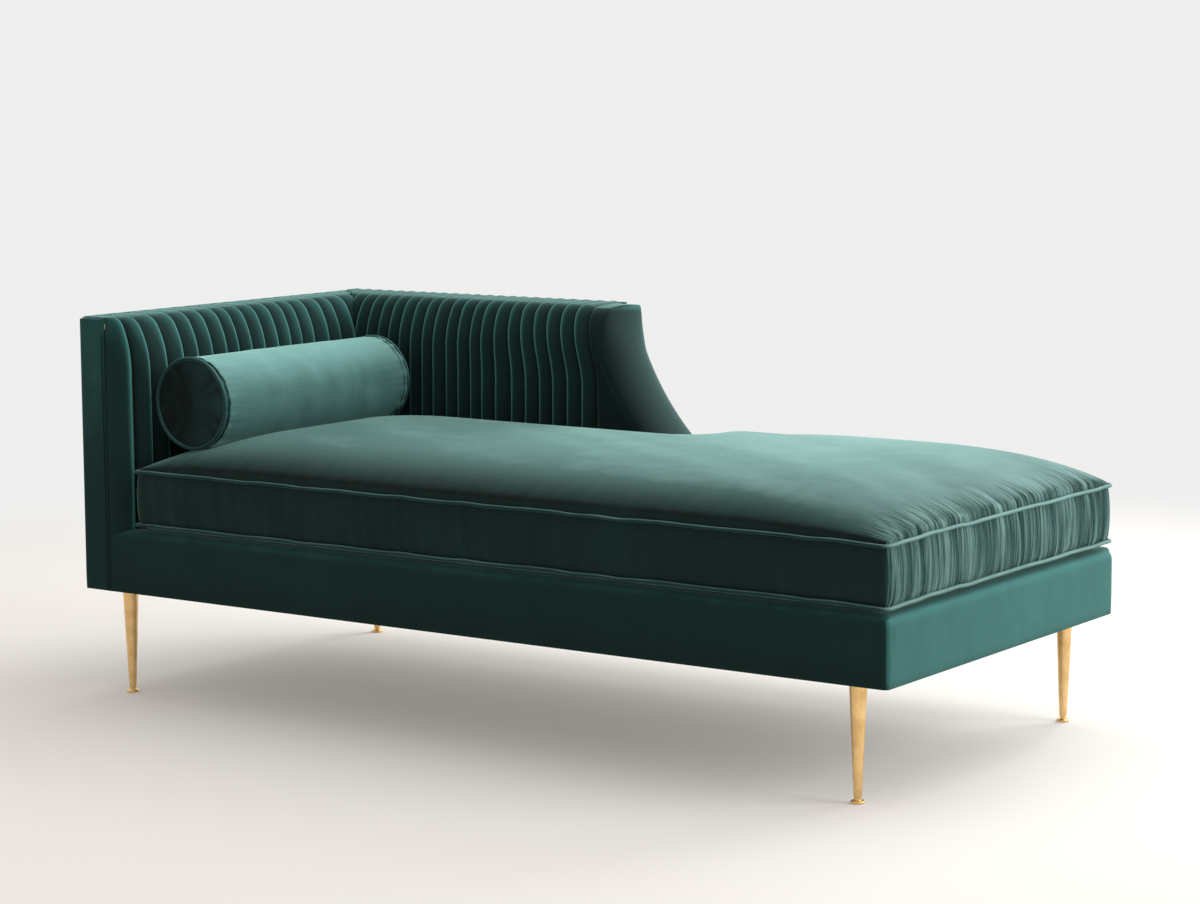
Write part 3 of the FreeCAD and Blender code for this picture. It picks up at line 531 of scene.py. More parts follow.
class Palette:
    """One material for each slot, made once."""

    def __init__(self) -> None:
        """Build every finish."""
        recipes = {
            Slot.VELVET: Velvet("green_velvet"),
            # The cushion's and the bolster's velvets are lighter copies of the green velvet, with brighter
            # painted highlights: painted light for the light that falls on them.
            Slot.CUSHION: Velvet("cushion_green_velvet_painted_lighter", body=(0.008, 0.039, 0.037), light=(0.24, 0.41, 0.39),
                                 gather=(9, 150, 7)),
            Slot.BOLSTER: Velvet("bolster_green_velvet_painted_lighter", body=(0.020, 0.074, 0.070), light=(0.20, 0.42, 0.40),
                                 gather=(110, 12, 110)),
            Slot.PIPING: Velvet("piping_velvet", sheen=0.5),
            Slot.LINING: Woven("black_lining", (0.022, 0.022, 0.024), (0.010, 0.010, 0.011)),
            Slot.FOAM: Foam("seat_foam"),
            Slot.STRAP: Woven("seat_webbing", (0.36, 0.30, 0.20), (0.16, 0.12, 0.07), 420),
            Slot.TIMBER: Timber("frame_timber"),
            Slot.STEEL: BrushedMetal("zinc_steel", (0.50, 0.50, 0.50), (0.34, 0.34, 0.35), 0.38),
            Slot.BRASS: BrushedMetal("brushed_brass"),
        }
        self.materials = {slot: recipe.material() for slot, recipe in recipes.items()}

    def dress(self, piece: Piece, slot: Slot) -> None:
        """Give a new piece its finish."""
        piece.data.materials.clear()
        piece.data.materials.append(self.materials[slot])

    def dress_node(self, node: str, slot: Slot) -> None:
        """Give a CAD node its finish, and leave its mesh alone."""
        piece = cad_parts[node]
        if not piece.material_slots:
            piece.data.materials.append(None)
        for place in piece.material_slots:
            place.material = self.materials[slot]


# The parts of the seat


@dataclass
class Upholstery:
    """What every sub-assembly shares: its finishes, the seat's main levels and how pieces are handed over."""

    palette: Palette
    head: float = -0.850
    foot: float = 0.850
    front: float = -0.400
    rear: float = 0.400
    under: float = 0.195
    deck: float = 0.311
    top: float = 0.700
    cloth: float = 0.0016
    thread: float = 0.0012

    def finish_nodes(self, slot: Slot, *nodes: str) -> None:
        """Give CAD nodes that keep their own mesh one finish."""
        for node in nodes:
            self.palette.dress_node(node, slot)

    def sway(self, height: Points) -> Points:
        """Return how far a pleat wanders along its row at each height, from -1 to 1."""
        return np.sin(np.clip(height - self.deck, 0, 0.39) * 8)

    def hand_over_sheet(self, piece: Piece, angle: float, *nodes: str) -> None:
        """Shade a velvet sheet, give it its thickness and hand it over on the frame."""
        smooth(piece, angle)
        finish_with(piece, "SOLIDIFY", thickness=self.cloth, offset=-1)
        self.hand_over(piece, Slot.VELVET, "frame", *nodes)

    def hand_over(self, piece: Piece, slot: Slot, body: str, *nodes: str) -> None:
        """Dress a finished piece, set it on its body and let it stand for its CAD nodes.

        Args:
            piece: The finished mesh.
            slot: Its finish.
            body: The CAD body that it moves with.
            *nodes: The CAD nodes that it stands for.
        """
        settle(piece)
        self.palette.dress(piece, slot)
        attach(piece, body)
        if nodes:
            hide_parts(*nodes)
        log.info("%s: %d faces on %s", piece.name, len(piece.data.polygons), body)


@dataclass(frozen=True)
class Roll:
    """The section of the arm and the back: up the face, over a rounded roll and along the flat top."""

    wide: float = 0.058
    tall: float = 0.100
    small: float = 0.042
    floor: float = 0.311
    base: float = 0.600
    belly: float = 0.003
    face_steps: int = 14
    lower_steps: int = 9
    upper_steps: int = 14
    flat_steps: int = 7

    def section(self, flat: float) -> tuple[Points, ...]:
        """Sample the section up the face, round the large and the small arc and along the flat top.

        Args:
            flat: How far the flat top runs past the roll's centre.

        Returns:
            Distance out from the roll's centre, height, and the outward normal's two parts.
        """
        rise = self.tall - self.small
        large = (self.wide ** 2 + rise ** 2 - self.small ** 2) / ((self.wide - self.small) * 2)
        turn = math.atan2(rise, large - self.wide)
        face = np.linspace(0, 1, self.face_steps, endpoint=False)
        lower = np.linspace(0, turn, self.lower_steps, endpoint=False)
        upper = np.linspace(turn, math.pi / 2, self.upper_steps, endpoint=False)
        run = np.linspace(0, 1, self.flat_steps)
        out = np.concatenate([self.wide + self.belly * np.sin(face * math.pi) * 0.6,
                              self.wide - large + large * np.cos(lower), self.small * np.cos(upper),
                              -flat * run])
        up = np.concatenate([self.floor + (self.base - self.floor) * face, self.base + large * np.sin(lower),
                             self.base + rise + self.small * np.sin(upper), self.base + self.tall + run * 0])
        angle = np.concatenate([face * 0, lower, upper, run * 0 + math.pi / 2])
        return out, up, np.cos(angle), np.sin(angle)


@dataclass(frozen=True)
class PleatRow:
    """Knife pleats across a row: where each folded edge lies, and which way the folds face."""

    folds: Sequence[float]
    depth: float = 0.0105
    share: Sequence[float] = (0.0, 0.07, 0.18, 0.33, 0.50, 0.68, 0.84, 0.94, 1.0, 1.045, 1.06, 1.03)
    sunk: Sequence[float] = (1.0, 0.84, 0.62, 0.40, 0.23, 0.11, 0.03, 0.0, 0.01, 0.09, 0.24, 0.60)
    # Painted light and shade across one pleat: painted shade in the fold, rising to a painted highlight on
    # the folded edge.
    tone_and_painted_light: Sequence[float] = (0.0, 0.02, 0.10, 0.22, 0.31, 0.37, 0.43, 0.58, 1.0, 0.90, 0.22, 0.0)

    def columns(self, backwards: bool = False) -> tuple[Points, Points, Points]:
        """Lay the columns of the whole row.

        Args:
            backwards: Whether the folded edges face the row's start.

        Returns:
            Each column's place along the row, how far it is sunk, and its painted light and shade.
        """
        folds = np.array(self.folds)
        if backwards:
            folds = -folds[::-1]
        widths = np.diff(folds)
        places = np.concatenate([start + width * np.array(self.share) for start, width in zip(folds, widths)]
                                + [folds[-1:]])
        sunk = np.concatenate([self.sunk] * len(widths) + [[1.0]]) * self.depth
        tone_and_painted_light = np.concatenate([self.tone_and_painted_light] * len(widths) + [[0.0]])
        if backwards:
            return -places[::-1], sunk[::-1], tone_and_painted_light[::-1]
        return places, sunk, tone_and_painted_light


@dataclass
class Base(Upholstery):
    """The upholstered box under the seat, its deck and its underside."""

    arm_in: float = -0.788
    corner: float = 0.010
    roll: float = 0.020
    turn_under: float = 0.070
    fold_in: float = 0.090
    seam_in: float = 0.021

    def build(self) -> None:
        """Make the base's pieces and finish its frame."""
        self.cover()
        self.deck_cloth()
        self.dust_cover()
        self.finish_nodes(Slot.TIMBER, "base_front_rail", "base_back_rail", "base_head_rail",
                          "base_foot_rail", "base_cross_rails", "corner_blocks")
        self.finish_nodes(Slot.STRAP, "long_straps", "cross_straps")
        self.finish_nodes(Slot.FOAM, "deck_pad")

    def cover(self) -> None:
        """Make the velvet round the base: a box opened above and below, with a soft top edge and seams."""
        piece = box("base_velvet", (self.arm_in, self.front, self.under), (self.foot, self.rear, self.deck))
        for level, inset in ((self.deck, self.fold_in), (self.under, self.turn_under)):
            with edited(piece, "FACE", lambda face, level=level: abs(face.center.z - level) < 1e-4):
                bpy.ops.mesh.inset(thickness=inset)
                bpy.ops.mesh.delete(type="FACE")
        points = read_points(piece)
        with edited(piece, "EDGE", lambda edge: self.at_foot_corner(points[list(edge.vertices)])):
            bpy.ops.mesh.bevel(offset=self.corner, segments=4, affect="EDGES")
        self.even_out(piece)
        self.round_top(piece)
        self.soften(piece)
        self.hand_over_sheet(piece, 50, "base_cover")
        self.seams()

    def at_foot_corner(self, ends: Points) -> bool:
        """Say whether an edge is an upright one at the foot end."""
        return bool(np.ptp(ends[:, 2]) > 0.05 and ends[0][0] > 0 and abs(ends[0][1]) > 0.39)

    def even_out(self, piece: Piece) -> None:
        """Cut the faces across, finely beside the top edge, so that the cloth can move between the cuts."""
        near = np.array([0.002, 0.005, 0.009, 0.014, 0.020, 0.027])
        cuts = {"x": (np.arange(self.arm_in + 0.02, self.foot - 0.03, 0.02), self.foot - near),
                "y": (np.arange(self.front + 0.04, self.rear - 0.01, 0.02), self.front + near),
                "z": (np.arange(self.under + 0.012, self.deck - 0.03, 0.012), self.deck - near)}
        for axis, places in cuts.items():
            slice_across(piece, axis, np.concatenate(places))

    def round_top(self, piece: Piece) -> None:
        """Round the top edge along the front and the foot end."""
        points = read_points(piece)
        x, y, z = points.T
        from_front, from_foot = y - self.front, self.foot - x
        in_corner = (from_front < self.roll) & (from_foot < self.roll)
        centre_x, centre_y = self.foot - self.roll, self.front + self.roll
        away = np.hypot(x - centre_x, y - centre_y) + 1e-9
        inside = np.where(in_corner, np.clip(self.roll - away, 0, None), np.minimum(from_front, from_foot))
        out_x = np.where(in_corner, (x - centre_x) / away, np.where(from_foot < from_front, 1.0, 0.0))
        out_y = np.where(in_corner, (y - centre_y) / away, np.where(from_foot < from_front, 0.0, -1.0))
        on_top = z > self.deck - 1e-5
        run = np.where(on_top, inside, z - self.deck)
        turned = (np.abs(run) < self.roll) & (on_top | (inside < self.corner))
        angle = (run + self.roll) / (self.roll * 2) * math.pi / 2
        shift = self.roll * (1 - np.cos(angle)) - np.where(on_top, inside, 0)
        drop = self.roll * (1 - np.sin(angle))
        points[:, 0] = np.where(turned, x - out_x * shift, x)
        points[:, 1] = np.where(turned, y - out_y * shift, y)
        points[:, 2] = np.where(turned, self.deck - drop, z)
        write_points(piece, points)

    def soften(self, piece: Piece) -> None:
        """Let the velvet rise and fall a little over its pad, and paint its light and shade."""
        points, normals = read_points(piece), read_normals(piece)
        x, y, z = points.T
        side = 1 - np.abs(normals[:, 2])
        swell = 0.0008 * noise_along(x + y * 0.7, 0.16, 3) + 0.0006 * noise_along(z + x * 0.2, 0.05, 4)
        inner = eased(z, self.under, self.under + 0.02) * side
        write_points(piece, points + normals * (swell * 0.6 * inner)[:, None])
        # Painted light and shade: the foot end and the top edge lighter, the front darker near the bottom.
        level = 0.30 + 0.38 * eased(normals[:, 0], 0.3, 0.9)
        level += 0.22 * eased(z, self.deck - 0.022, self.deck - 0.002)
        level -= 0.10 * eased(-normals[:, 1], 0.5, 0.95) * (1 - eased(z, self.under, self.under + 0.06))
        paint_tone_and_light(piece, level)

    def seams(self) -> None:
        """Sew the upright seams near the foot end's corners and beside the arm."""
        runs = [(self.foot - 0.0006, y, self.under + 0.002, self.deck - 0.019, 0.0009)
                for y in (self.front + self.seam_in, self.rear - self.seam_in)]
        runs.append((self.arm_in + 0.0004, self.front - 0.0002, self.under + 0.001, self.deck, self.thread))
        piece = joined("base_seams", [tube("seam", [(x, y, z) for z in np.linspace(low, high, 12)], radius)
                                      for x, y, low, high, radius in runs])
        paint_tone_and_light(piece, np.full(len(piece.data.vertices), 0.25))
        self.hand_over(piece, Slot.PIPING, "frame")

    def deck_cloth(self) -> None:
        """Make the plain cloth over the seat's straps, a little crowned."""
        low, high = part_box("deck_cloth")
        right, rear = self.foot - self.fold_in + 0.006, self.rear - self.fold_in + 0.006

        def lay(across: Points, up: Points) -> Laid:
            """Lay the deck's cloth, tucked under the velvet all round."""
            x = low[0] + (max(high[0], right) - low[0]) * across
            y = low[1] + (max(high[1], rear) - low[1]) * up
            crown = 0.0002 * np.sin(across * math.pi) * np.sin(up * math.pi)
            return np.stack([x, y, high[2] - 0.0008 + crown], 1), np.full(len(x), 0.5)

        piece = laid_sheet("deck_lining", 60, 24, lay)
        finish_with(piece, "SOLIDIFY", thickness=0.0012, offset=-1)
        self.hand_over(piece, Slot.LINING, "frame", "deck_cloth")

    def dust_cover(self) -> None:
        """Make the dark cloth tacked across the underside, sagging slightly between the rails."""
        low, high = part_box("dust_cover")

        def lay(across: Points, up: Points) -> Laid:
            """Lay the underside's cloth."""
            x = low[0] + (high[0] - low[0]) * across
            y = low[1] + (high[1] - low[1]) * up
            sag = 0.0012 * np.abs(np.sin(across * math.pi * 4)) * np.sin(up * math.pi)
            return np.stack([x, y, low[2] + 0.0012 - sag], 1), np.full(len(x), 0.5)

        piece = laid_sheet("dust_lining", 80, 30, lay)
        finish_with(piece, "SOLIDIFY", thickness=0.0008, offset=1)
        self.hand_over(piece, Slot.LINING, "frame", "dust_cover")


@dataclass
class Arm(Upholstery):
    """The low arm at the head end: a flat outer board, pleated velvet inside and piping between them."""

    centre_x: float = -0.788
    centre_y: float = -0.342
    piping: float = 0.003
    roll: Roll = field(default_factory=lambda: Roll(floor=0.294))
    lip: float = 0.012
    back_depth: float = 0.150
    piping_bend: float = 0.012
    seam_gap: float = 0.0075
    seam_turn: float = 0.660
    folds: Sequence[float] = (0.0, 0.0496, 0.090, 0.136, 0.182, 0.223, 0.263, 0.303, 0.337, 0.374, 0.412,
                              0.451, 0.489, 0.523, 0.560, 0.603, 0.639, 0.681, 0.720, 0.759, 0.798, 0.838)

    def build(self) -> None:
        """Make the arm's pieces and finish its frame."""
        self.pleats()
        self.outside()
        self.edge_piping()
        self.front_seams()
        self.finish_nodes(Slot.TIMBER, "arm_front_post", "arm_back_post", "arm_top_rail", "arm_tack_rail",
                          "arm_panel")
        self.finish_nodes(Slot.FOAM, "arm_foam")

    def lay(self, across: Points, up: Points) -> Laid:
        """Lay the pleated velvet round the front corner, along the face and over the top."""
        places, sunk, tone_and_painted_light = PleatRow(self.folds).columns()
        out, high, normal_out, normal_up = self.roll.section(self.centre_x - self.head - self.piping * 2)
        plain = places < self.folds[1] * 0.72
        sunk[plain], tone_and_painted_light[plain] = 0, 0.36
        places = np.concatenate([[-0.012, -0.006], places])
        sunk = np.concatenate([[0, 0], sunk])
        tone_and_painted_light = np.concatenate([[0.4, 0.45], tone_and_painted_light])
        column = np.rint(across * (len(places) - 1)).astype(int)
        row = np.rint(up * (len(out) - 1)).astype(int)
        over = eased(-out[row], 0.0, 0.05)
        place, depth = places[column], sunk[column] * (1 - 0.35 * over)
        lean = 0.0022 * noise_along(place, 0.11, 11) * self.sway(high[row])
        quarter = self.roll.wide * math.pi / 2
        angle = np.clip(place, 0, quarter) / self.roll.wide
        reach = np.clip(out[row], 0, None)
        straight = np.clip(place - quarter, 0, None)
        stood = reach - depth * normal_out[row]
        x = self.centre_x + stood * np.sin(angle)
        back = np.clip(reach / self.roll.wide, 0, 1)
        forward = (self.roll.wide - self.lip) + self.lip * back ** 0.5 - depth * normal_out[row]
        y = self.centre_y - forward * np.cos(angle) + straight + lean * (straight > 0)
        z = high[row] - depth * normal_up[row]
        flat = np.clip(-out[row], 0, None)
        x = x - flat
        drop = np.clip(-place, 0, self.lip)
        on_top = high[row] > self.top - 1e-6
        y = np.where(on_top, y - drop * 0.85, y)
        z = np.where(on_top, z - drop ** 2 / self.lip * 0.8, z)
        tucked = ~on_top & (place < 0)
        x, y = np.where(tucked, x + place * 0.9, x), np.where(tucked, y + 0.0006, y)
        # Painted light and shade: each pleat's folded edge a painted highlight and its fold a painted shade,
        # lighter over the roll and darker low on the face.
        light = tone_and_painted_light[column] + 0.16 * eased(high[row], 0.60, 0.70) - 0.10 * (1 - eased(high[row], 0.36, 0.52))
        return np.stack([x, y, z], 1), light

    def pleats(self) -> None:
        """Make the pleated cover and cut it at the mitre with the back."""
        columns = len(PleatRow(self.folds).columns()[0]) + 1
        rows = len(self.roll.section(0.05)[0]) - 1
        piece = laid_sheet("arm_pleats", columns, rows, self.lay)
        cut_at(piece, (self.centre_x + self.roll.wide, self.rear - self.back_depth, 0), (1, 1, 0))
        self.hand_over_sheet(piece, 55, "arm_pleated_cover", "arm_front_cover")

    def outside(self) -> None:
        """Make the flat outer cover: the end, the front strip and the rear strip in one shell."""
        high = self.top - 0.0035
        piece = box("arm_outer_velvet", (self.head, self.front, self.under), (self.centre_x, self.rear, high))
        with edited(piece, "FACE", lambda face: face.normal.x > 0.9):
            bpy.ops.mesh.delete(type="FACE")
        points = read_points(piece)

        def on_outer_edge(edge: bpy.types.MeshEdge) -> bool:
            """Say whether an edge lies on the outer side, or across the top."""
            ends = points[list(edge.vertices)]
            across_top = (ends[:, 2] > high - 1e-4).all() and np.ptp(ends[:, 0]) > 0.01
            return bool((ends[:, 0] < self.head + 1e-4).all() or across_top)

        with edited(piece, "EDGE", on_outer_edge):
            bpy.ops.mesh.bevel(offset=0.003, segments=3, affect="EDGES")
        slice_across(piece, "x", np.arange(-0.84, -0.79, 0.01))
        slice_across(piece, "y", np.arange(-0.38, 0.39, 0.02))
        slice_across(piece, "z", np.arange(0.215, 0.69, 0.02))
        points, normals = read_points(piece), read_normals(piece)
        y, z = points[:, 1], points[:, 2]
        swell = 0.0005 + 0.0004 * noise_along(y + z * 0.6, 0.14, 21)
        write_points(piece, points + normals * (swell * eased(z, 0.195, 0.22))[:, None])
        # Painted light: the front strip lighter towards its top.
        paint_tone_and_light(piece, 0.34 + 0.20 * eased(z, 0.35, 0.70) * eased(-normals[:, 1], 0.4, 0.9))
        self.hand_over_sheet(piece, 50, "arm_outer_cover")

    def edge_piping(self) -> None:
        """Make the piping up the front, over the top and down the rear of the outer edge."""
        x, r, bend = self.head + self.piping, self.piping, self.piping_bend
        rise = np.linspace(0, math.pi / 2, 7)

        def corner(y: float, inward: int, angles: Points) -> list[tuple[float, float, float]]:
            """Return the piping's points round one upper corner."""
            return [(x, y + inward * bend * (1 - math.cos(angle)),
                     self.top - r - bend * (1 - math.sin(angle))) for angle in angles]

        line = [(x, self.front + r, z) for z in np.linspace(self.under, self.top - 0.02, 24)]
        line += corner(self.front + r, 1, rise)
        line += [(x, y, self.top - r) for y in np.linspace(self.front + 0.03, self.rear - 0.03, 40)]
        line += corner(self.rear - r, -1, rise[::-1])
        line += [(x, self.rear - r, z) for z in np.linspace(self.top - 0.02, self.under, 24)]
        self.hand_over(tube("arm_edge_piping", line, r), Slot.PIPING, "frame", "arm_piping")

    def front_seams(self) -> None:
        """Sew the double seam up the front, which turns back with the roll at its top."""
        seams = []
        for x in (self.centre_x, self.centre_x - self.seam_gap):
            line = [(x, self.front - 0.0002, z) for z in np.linspace(self.under, self.seam_turn, 24)]
            line += [(x, self.front + 0.010 * share ** 2, self.seam_turn + 0.034 * share)
                     for share in np.linspace(0.1, 1, 8)]
            seams.append(tube("seam", line, self.thread))
        piece = joined("arm_front_seams", seams)
        paint_tone_and_light(piece, np.full(len(piece.data.vertices), 0.12))
        self.hand_over(piece, Slot.PIPING, "frame")


@dataclass
class Back(Upholstery):
    """The half back: pleated velvet, a plain sloped end, a flat outside and piping along the top."""

    face_y: float = 0.250
    seam_x: float = -0.147
    mitre_x: float = -0.730
    piping: float = 0.003
    lean_in: float = 0.032
    sweep_x: float = 1.2148
    sweep_z: float = 0.8176
    sweep_square: float = 0.2704
    roll: Roll = field(default_factory=Roll)
    folds: Sequence[float] = (-0.026, 0.005, 0.036, 0.064, 0.092, 0.120, 0.148, 0.176, 0.203, 0.230, 0.258,
                              0.287, 0.314, 0.346, 0.375, 0.408, 0.437, 0.470, 0.505, 0.536, 0.571, 0.605,
                              0.640, 0.673, 0.703)

    def build(self) -> None:
        """Make the back's pieces and finish its frame."""
        self.pleats()
        self.sloped_end()
        self.outside()
        self.finish_nodes(Slot.TIMBER, "back_panel", "back_posts", "back_tack_rail", "back_top_rail")
        self.finish_nodes(Slot.FOAM, "back_foam")

    def lay(self, across: Points, up: Points) -> Laid:
        """Lay the pleated velvet up the face and over the top."""
        places, sunk, tone_and_painted_light = PleatRow(self.folds).columns(backwards=True)
        centre_y = self.face_y + self.roll.wide
        out, high, normal_out, normal_up = self.roll.section(self.rear - self.piping * 2 - centre_y)
        column = np.rint(across * (len(places) - 1)).astype(int)
        row = np.rint(up * (len(out) - 1)).astype(int)
        over = eased(-out[row], 0.0, 0.07)
        depth = sunk[column] * (1 - 0.35 * over)
        lean = 0.004 * noise_along(places[column], 0.09, 12)
        lean *= self.sway(high[row])
        lean *= eased(self.seam_x - self.head - places[column], 0.0, 0.05)
        lean += (self.seam_at(high[row]) - self.seam_x) * eased(places[column], 0.30, 0.70)
        x = self.head + places[column] + lean
        y = centre_y - out[row] + depth * normal_out[row]
        z = high[row] - depth * normal_up[row]
        # Painted light and shade: pleat edges painted highlights and folds painted shade, lighter at the top
        # and darker low on the face.
        light = tone_and_painted_light[column] * 0.9 + 0.10 * eased(high[row], 0.62, 0.70)
        light -= 0.12 * (1 - eased(high[row], 0.42, 0.60))
        return np.stack([x, y, z], 1), light

    def pleats(self) -> None:
        """Make the pleated cover and cut it at the mitre with the arm."""
        columns = len(PleatRow(self.folds).columns(True)[0]) - 1
        rows = len(self.roll.section(0.05)[0]) - 1
        piece = laid_sheet("back_pleats", columns, rows, self.lay)
        cut_at(piece, (self.mitre_x, self.face_y, 0), (-1, -1, 0))
        cut_at(piece, (self.head + self.piping * 2, 0, 0), (-1, 0, 0))
        turn_over(piece)
        self.hand_over_sheet(piece, 55, "back_pleated_cover")

    def tip(self, height: Points) -> Points:
        """Return how far the sloped end reaches at each height: a hollow sweep down to the seat."""
        fall = np.clip(height, 0.400, 0.685) - self.sweep_z
        reach = self.head + self.sweep_x - np.sqrt(self.sweep_square - fall ** 2)
        turn = np.clip((height - 0.684) / 0.016, 0, 1)
        return np.maximum(reach - 0.012 * (1 - np.sqrt(1 - turn ** 2)), self.seam_x + 0.002)

    def seam_at(self, height: Points) -> Points:
        """Return where the last pleat ends at each height: it leans towards the arm over the roll."""
        return self.seam_x - self.lean_in * eased(height, 0.55, 0.70)

    def sloped_end(self) -> None:
        """Make the plain velvet over the sloped end, rounded where it turns to the rear."""

        def lay(across: Points, up: Points) -> Laid:
            """Lay the end's velvet round its outline at each height, and close it on top."""
            side, capped = np.clip(up / 0.9, 0, 1), np.clip((up - 0.9) / 0.1, 0, 1)
            height = self.deck + (self.top - 0.004 - self.deck) * (1 - (1 - side) ** 1.35)
            rise = np.clip(height - self.roll.base, 0, self.roll.tall) / self.roll.tall
            drawn = self.roll.wide * (1 - np.sqrt(np.clip(1 - rise ** 2.2, 0, 1)))
            low, high = self.face_y + 0.004 + drawn, self.rear - 0.001 - 0.003 * eased(height, 0.68, 0.70)
            reach = self.tip(height)
            seam = self.seam_at(height)
            bulge = np.clip(reach - self.seam_x - 0.001, 0.006, 0.034)
            turn = (np.clip(across, 0.3, 0.7) - 0.3) / 0.4 * math.pi
            middle, half = (low + high) / 2, (high - low) / 2
            round_x = reach - bulge + bulge * np.abs(np.sin(turn)) ** 0.85
            flat = np.clip(1 - across / 0.3, 0, 1) + np.clip((across - 0.7) / 0.3, 0, 1)
            x = np.where(flat > 0, seam + (reach - bulge - seam) * (1 - flat), round_x)
            y = middle - half * np.cos(turn)
            hollow = 0.004 * np.sin(np.clip((x - seam) / (reach - seam), 0, 1) * math.pi)
            y += np.where(across < 0.3, -hollow * 0.6, 0)
            y = middle + (y - middle) * (1 - capped)
            z = height + 0.004 * np.sin(capped * math.pi / 2)
            # Painted light and shade: dark on the front face, lighter from the rounded nose round to the
            # rear, along the top edge and in a thin strip beside the pleats.
            light = 0.12 + 0.30 * eased(across, 0.34, 0.60) + 0.26 * eased(height, 0.682, 0.696)
            light += 0.34 * (1 - eased(across, 0.004, 0.03))
            return np.stack([x, y, z], 1), light

        piece = laid_sheet("back_end_velvet", 96, 80, lay)
        mend_surface(piece)
        self.hand_over_sheet(piece, 50, "back_end_cover", "back_end_foam", "back_end_board")

    def outside(self) -> None:
        """Make the flat outside of the back and the piping along its top."""
        def lay(across: Points, up: Points) -> Laid:
            """Lay the outside's velvet, drawn in at its edges."""
            z = self.deck - 0.004 + (self.top - self.deck) * up
            x = self.head + 0.004 + (self.seam_at(z) - self.head) * across
            edge = np.minimum(np.minimum(across, 1 - across) * 14, np.minimum(up, 1 - up) * 9)
            y = self.rear - 0.0010 + 0.0009 * eased(edge, 0, 1) * (0.8 + 0.2 * noise_along(x + z, 0.12, 31))
            # Painted light: the outside lighter towards its top.
            return np.stack([x, y, z], 1), 0.36 + 0.1 * eased(z, 0.6, 0.7)

        piece = laid_sheet("back_outer_velvet", 70, 40, lay)
        turn_over(piece)
        self.hand_over_sheet(piece, 50, "back_outer_cover")
        r = self.piping
        run = np.linspace(self.head + r * 2, self.seam_x - self.lean_in, 60)
        line = [(x, self.rear - r, self.top - r) for x in run]
        self.hand_over(tube("back_edge_piping", line, r), Slot.PIPING, "frame", "back_piping")


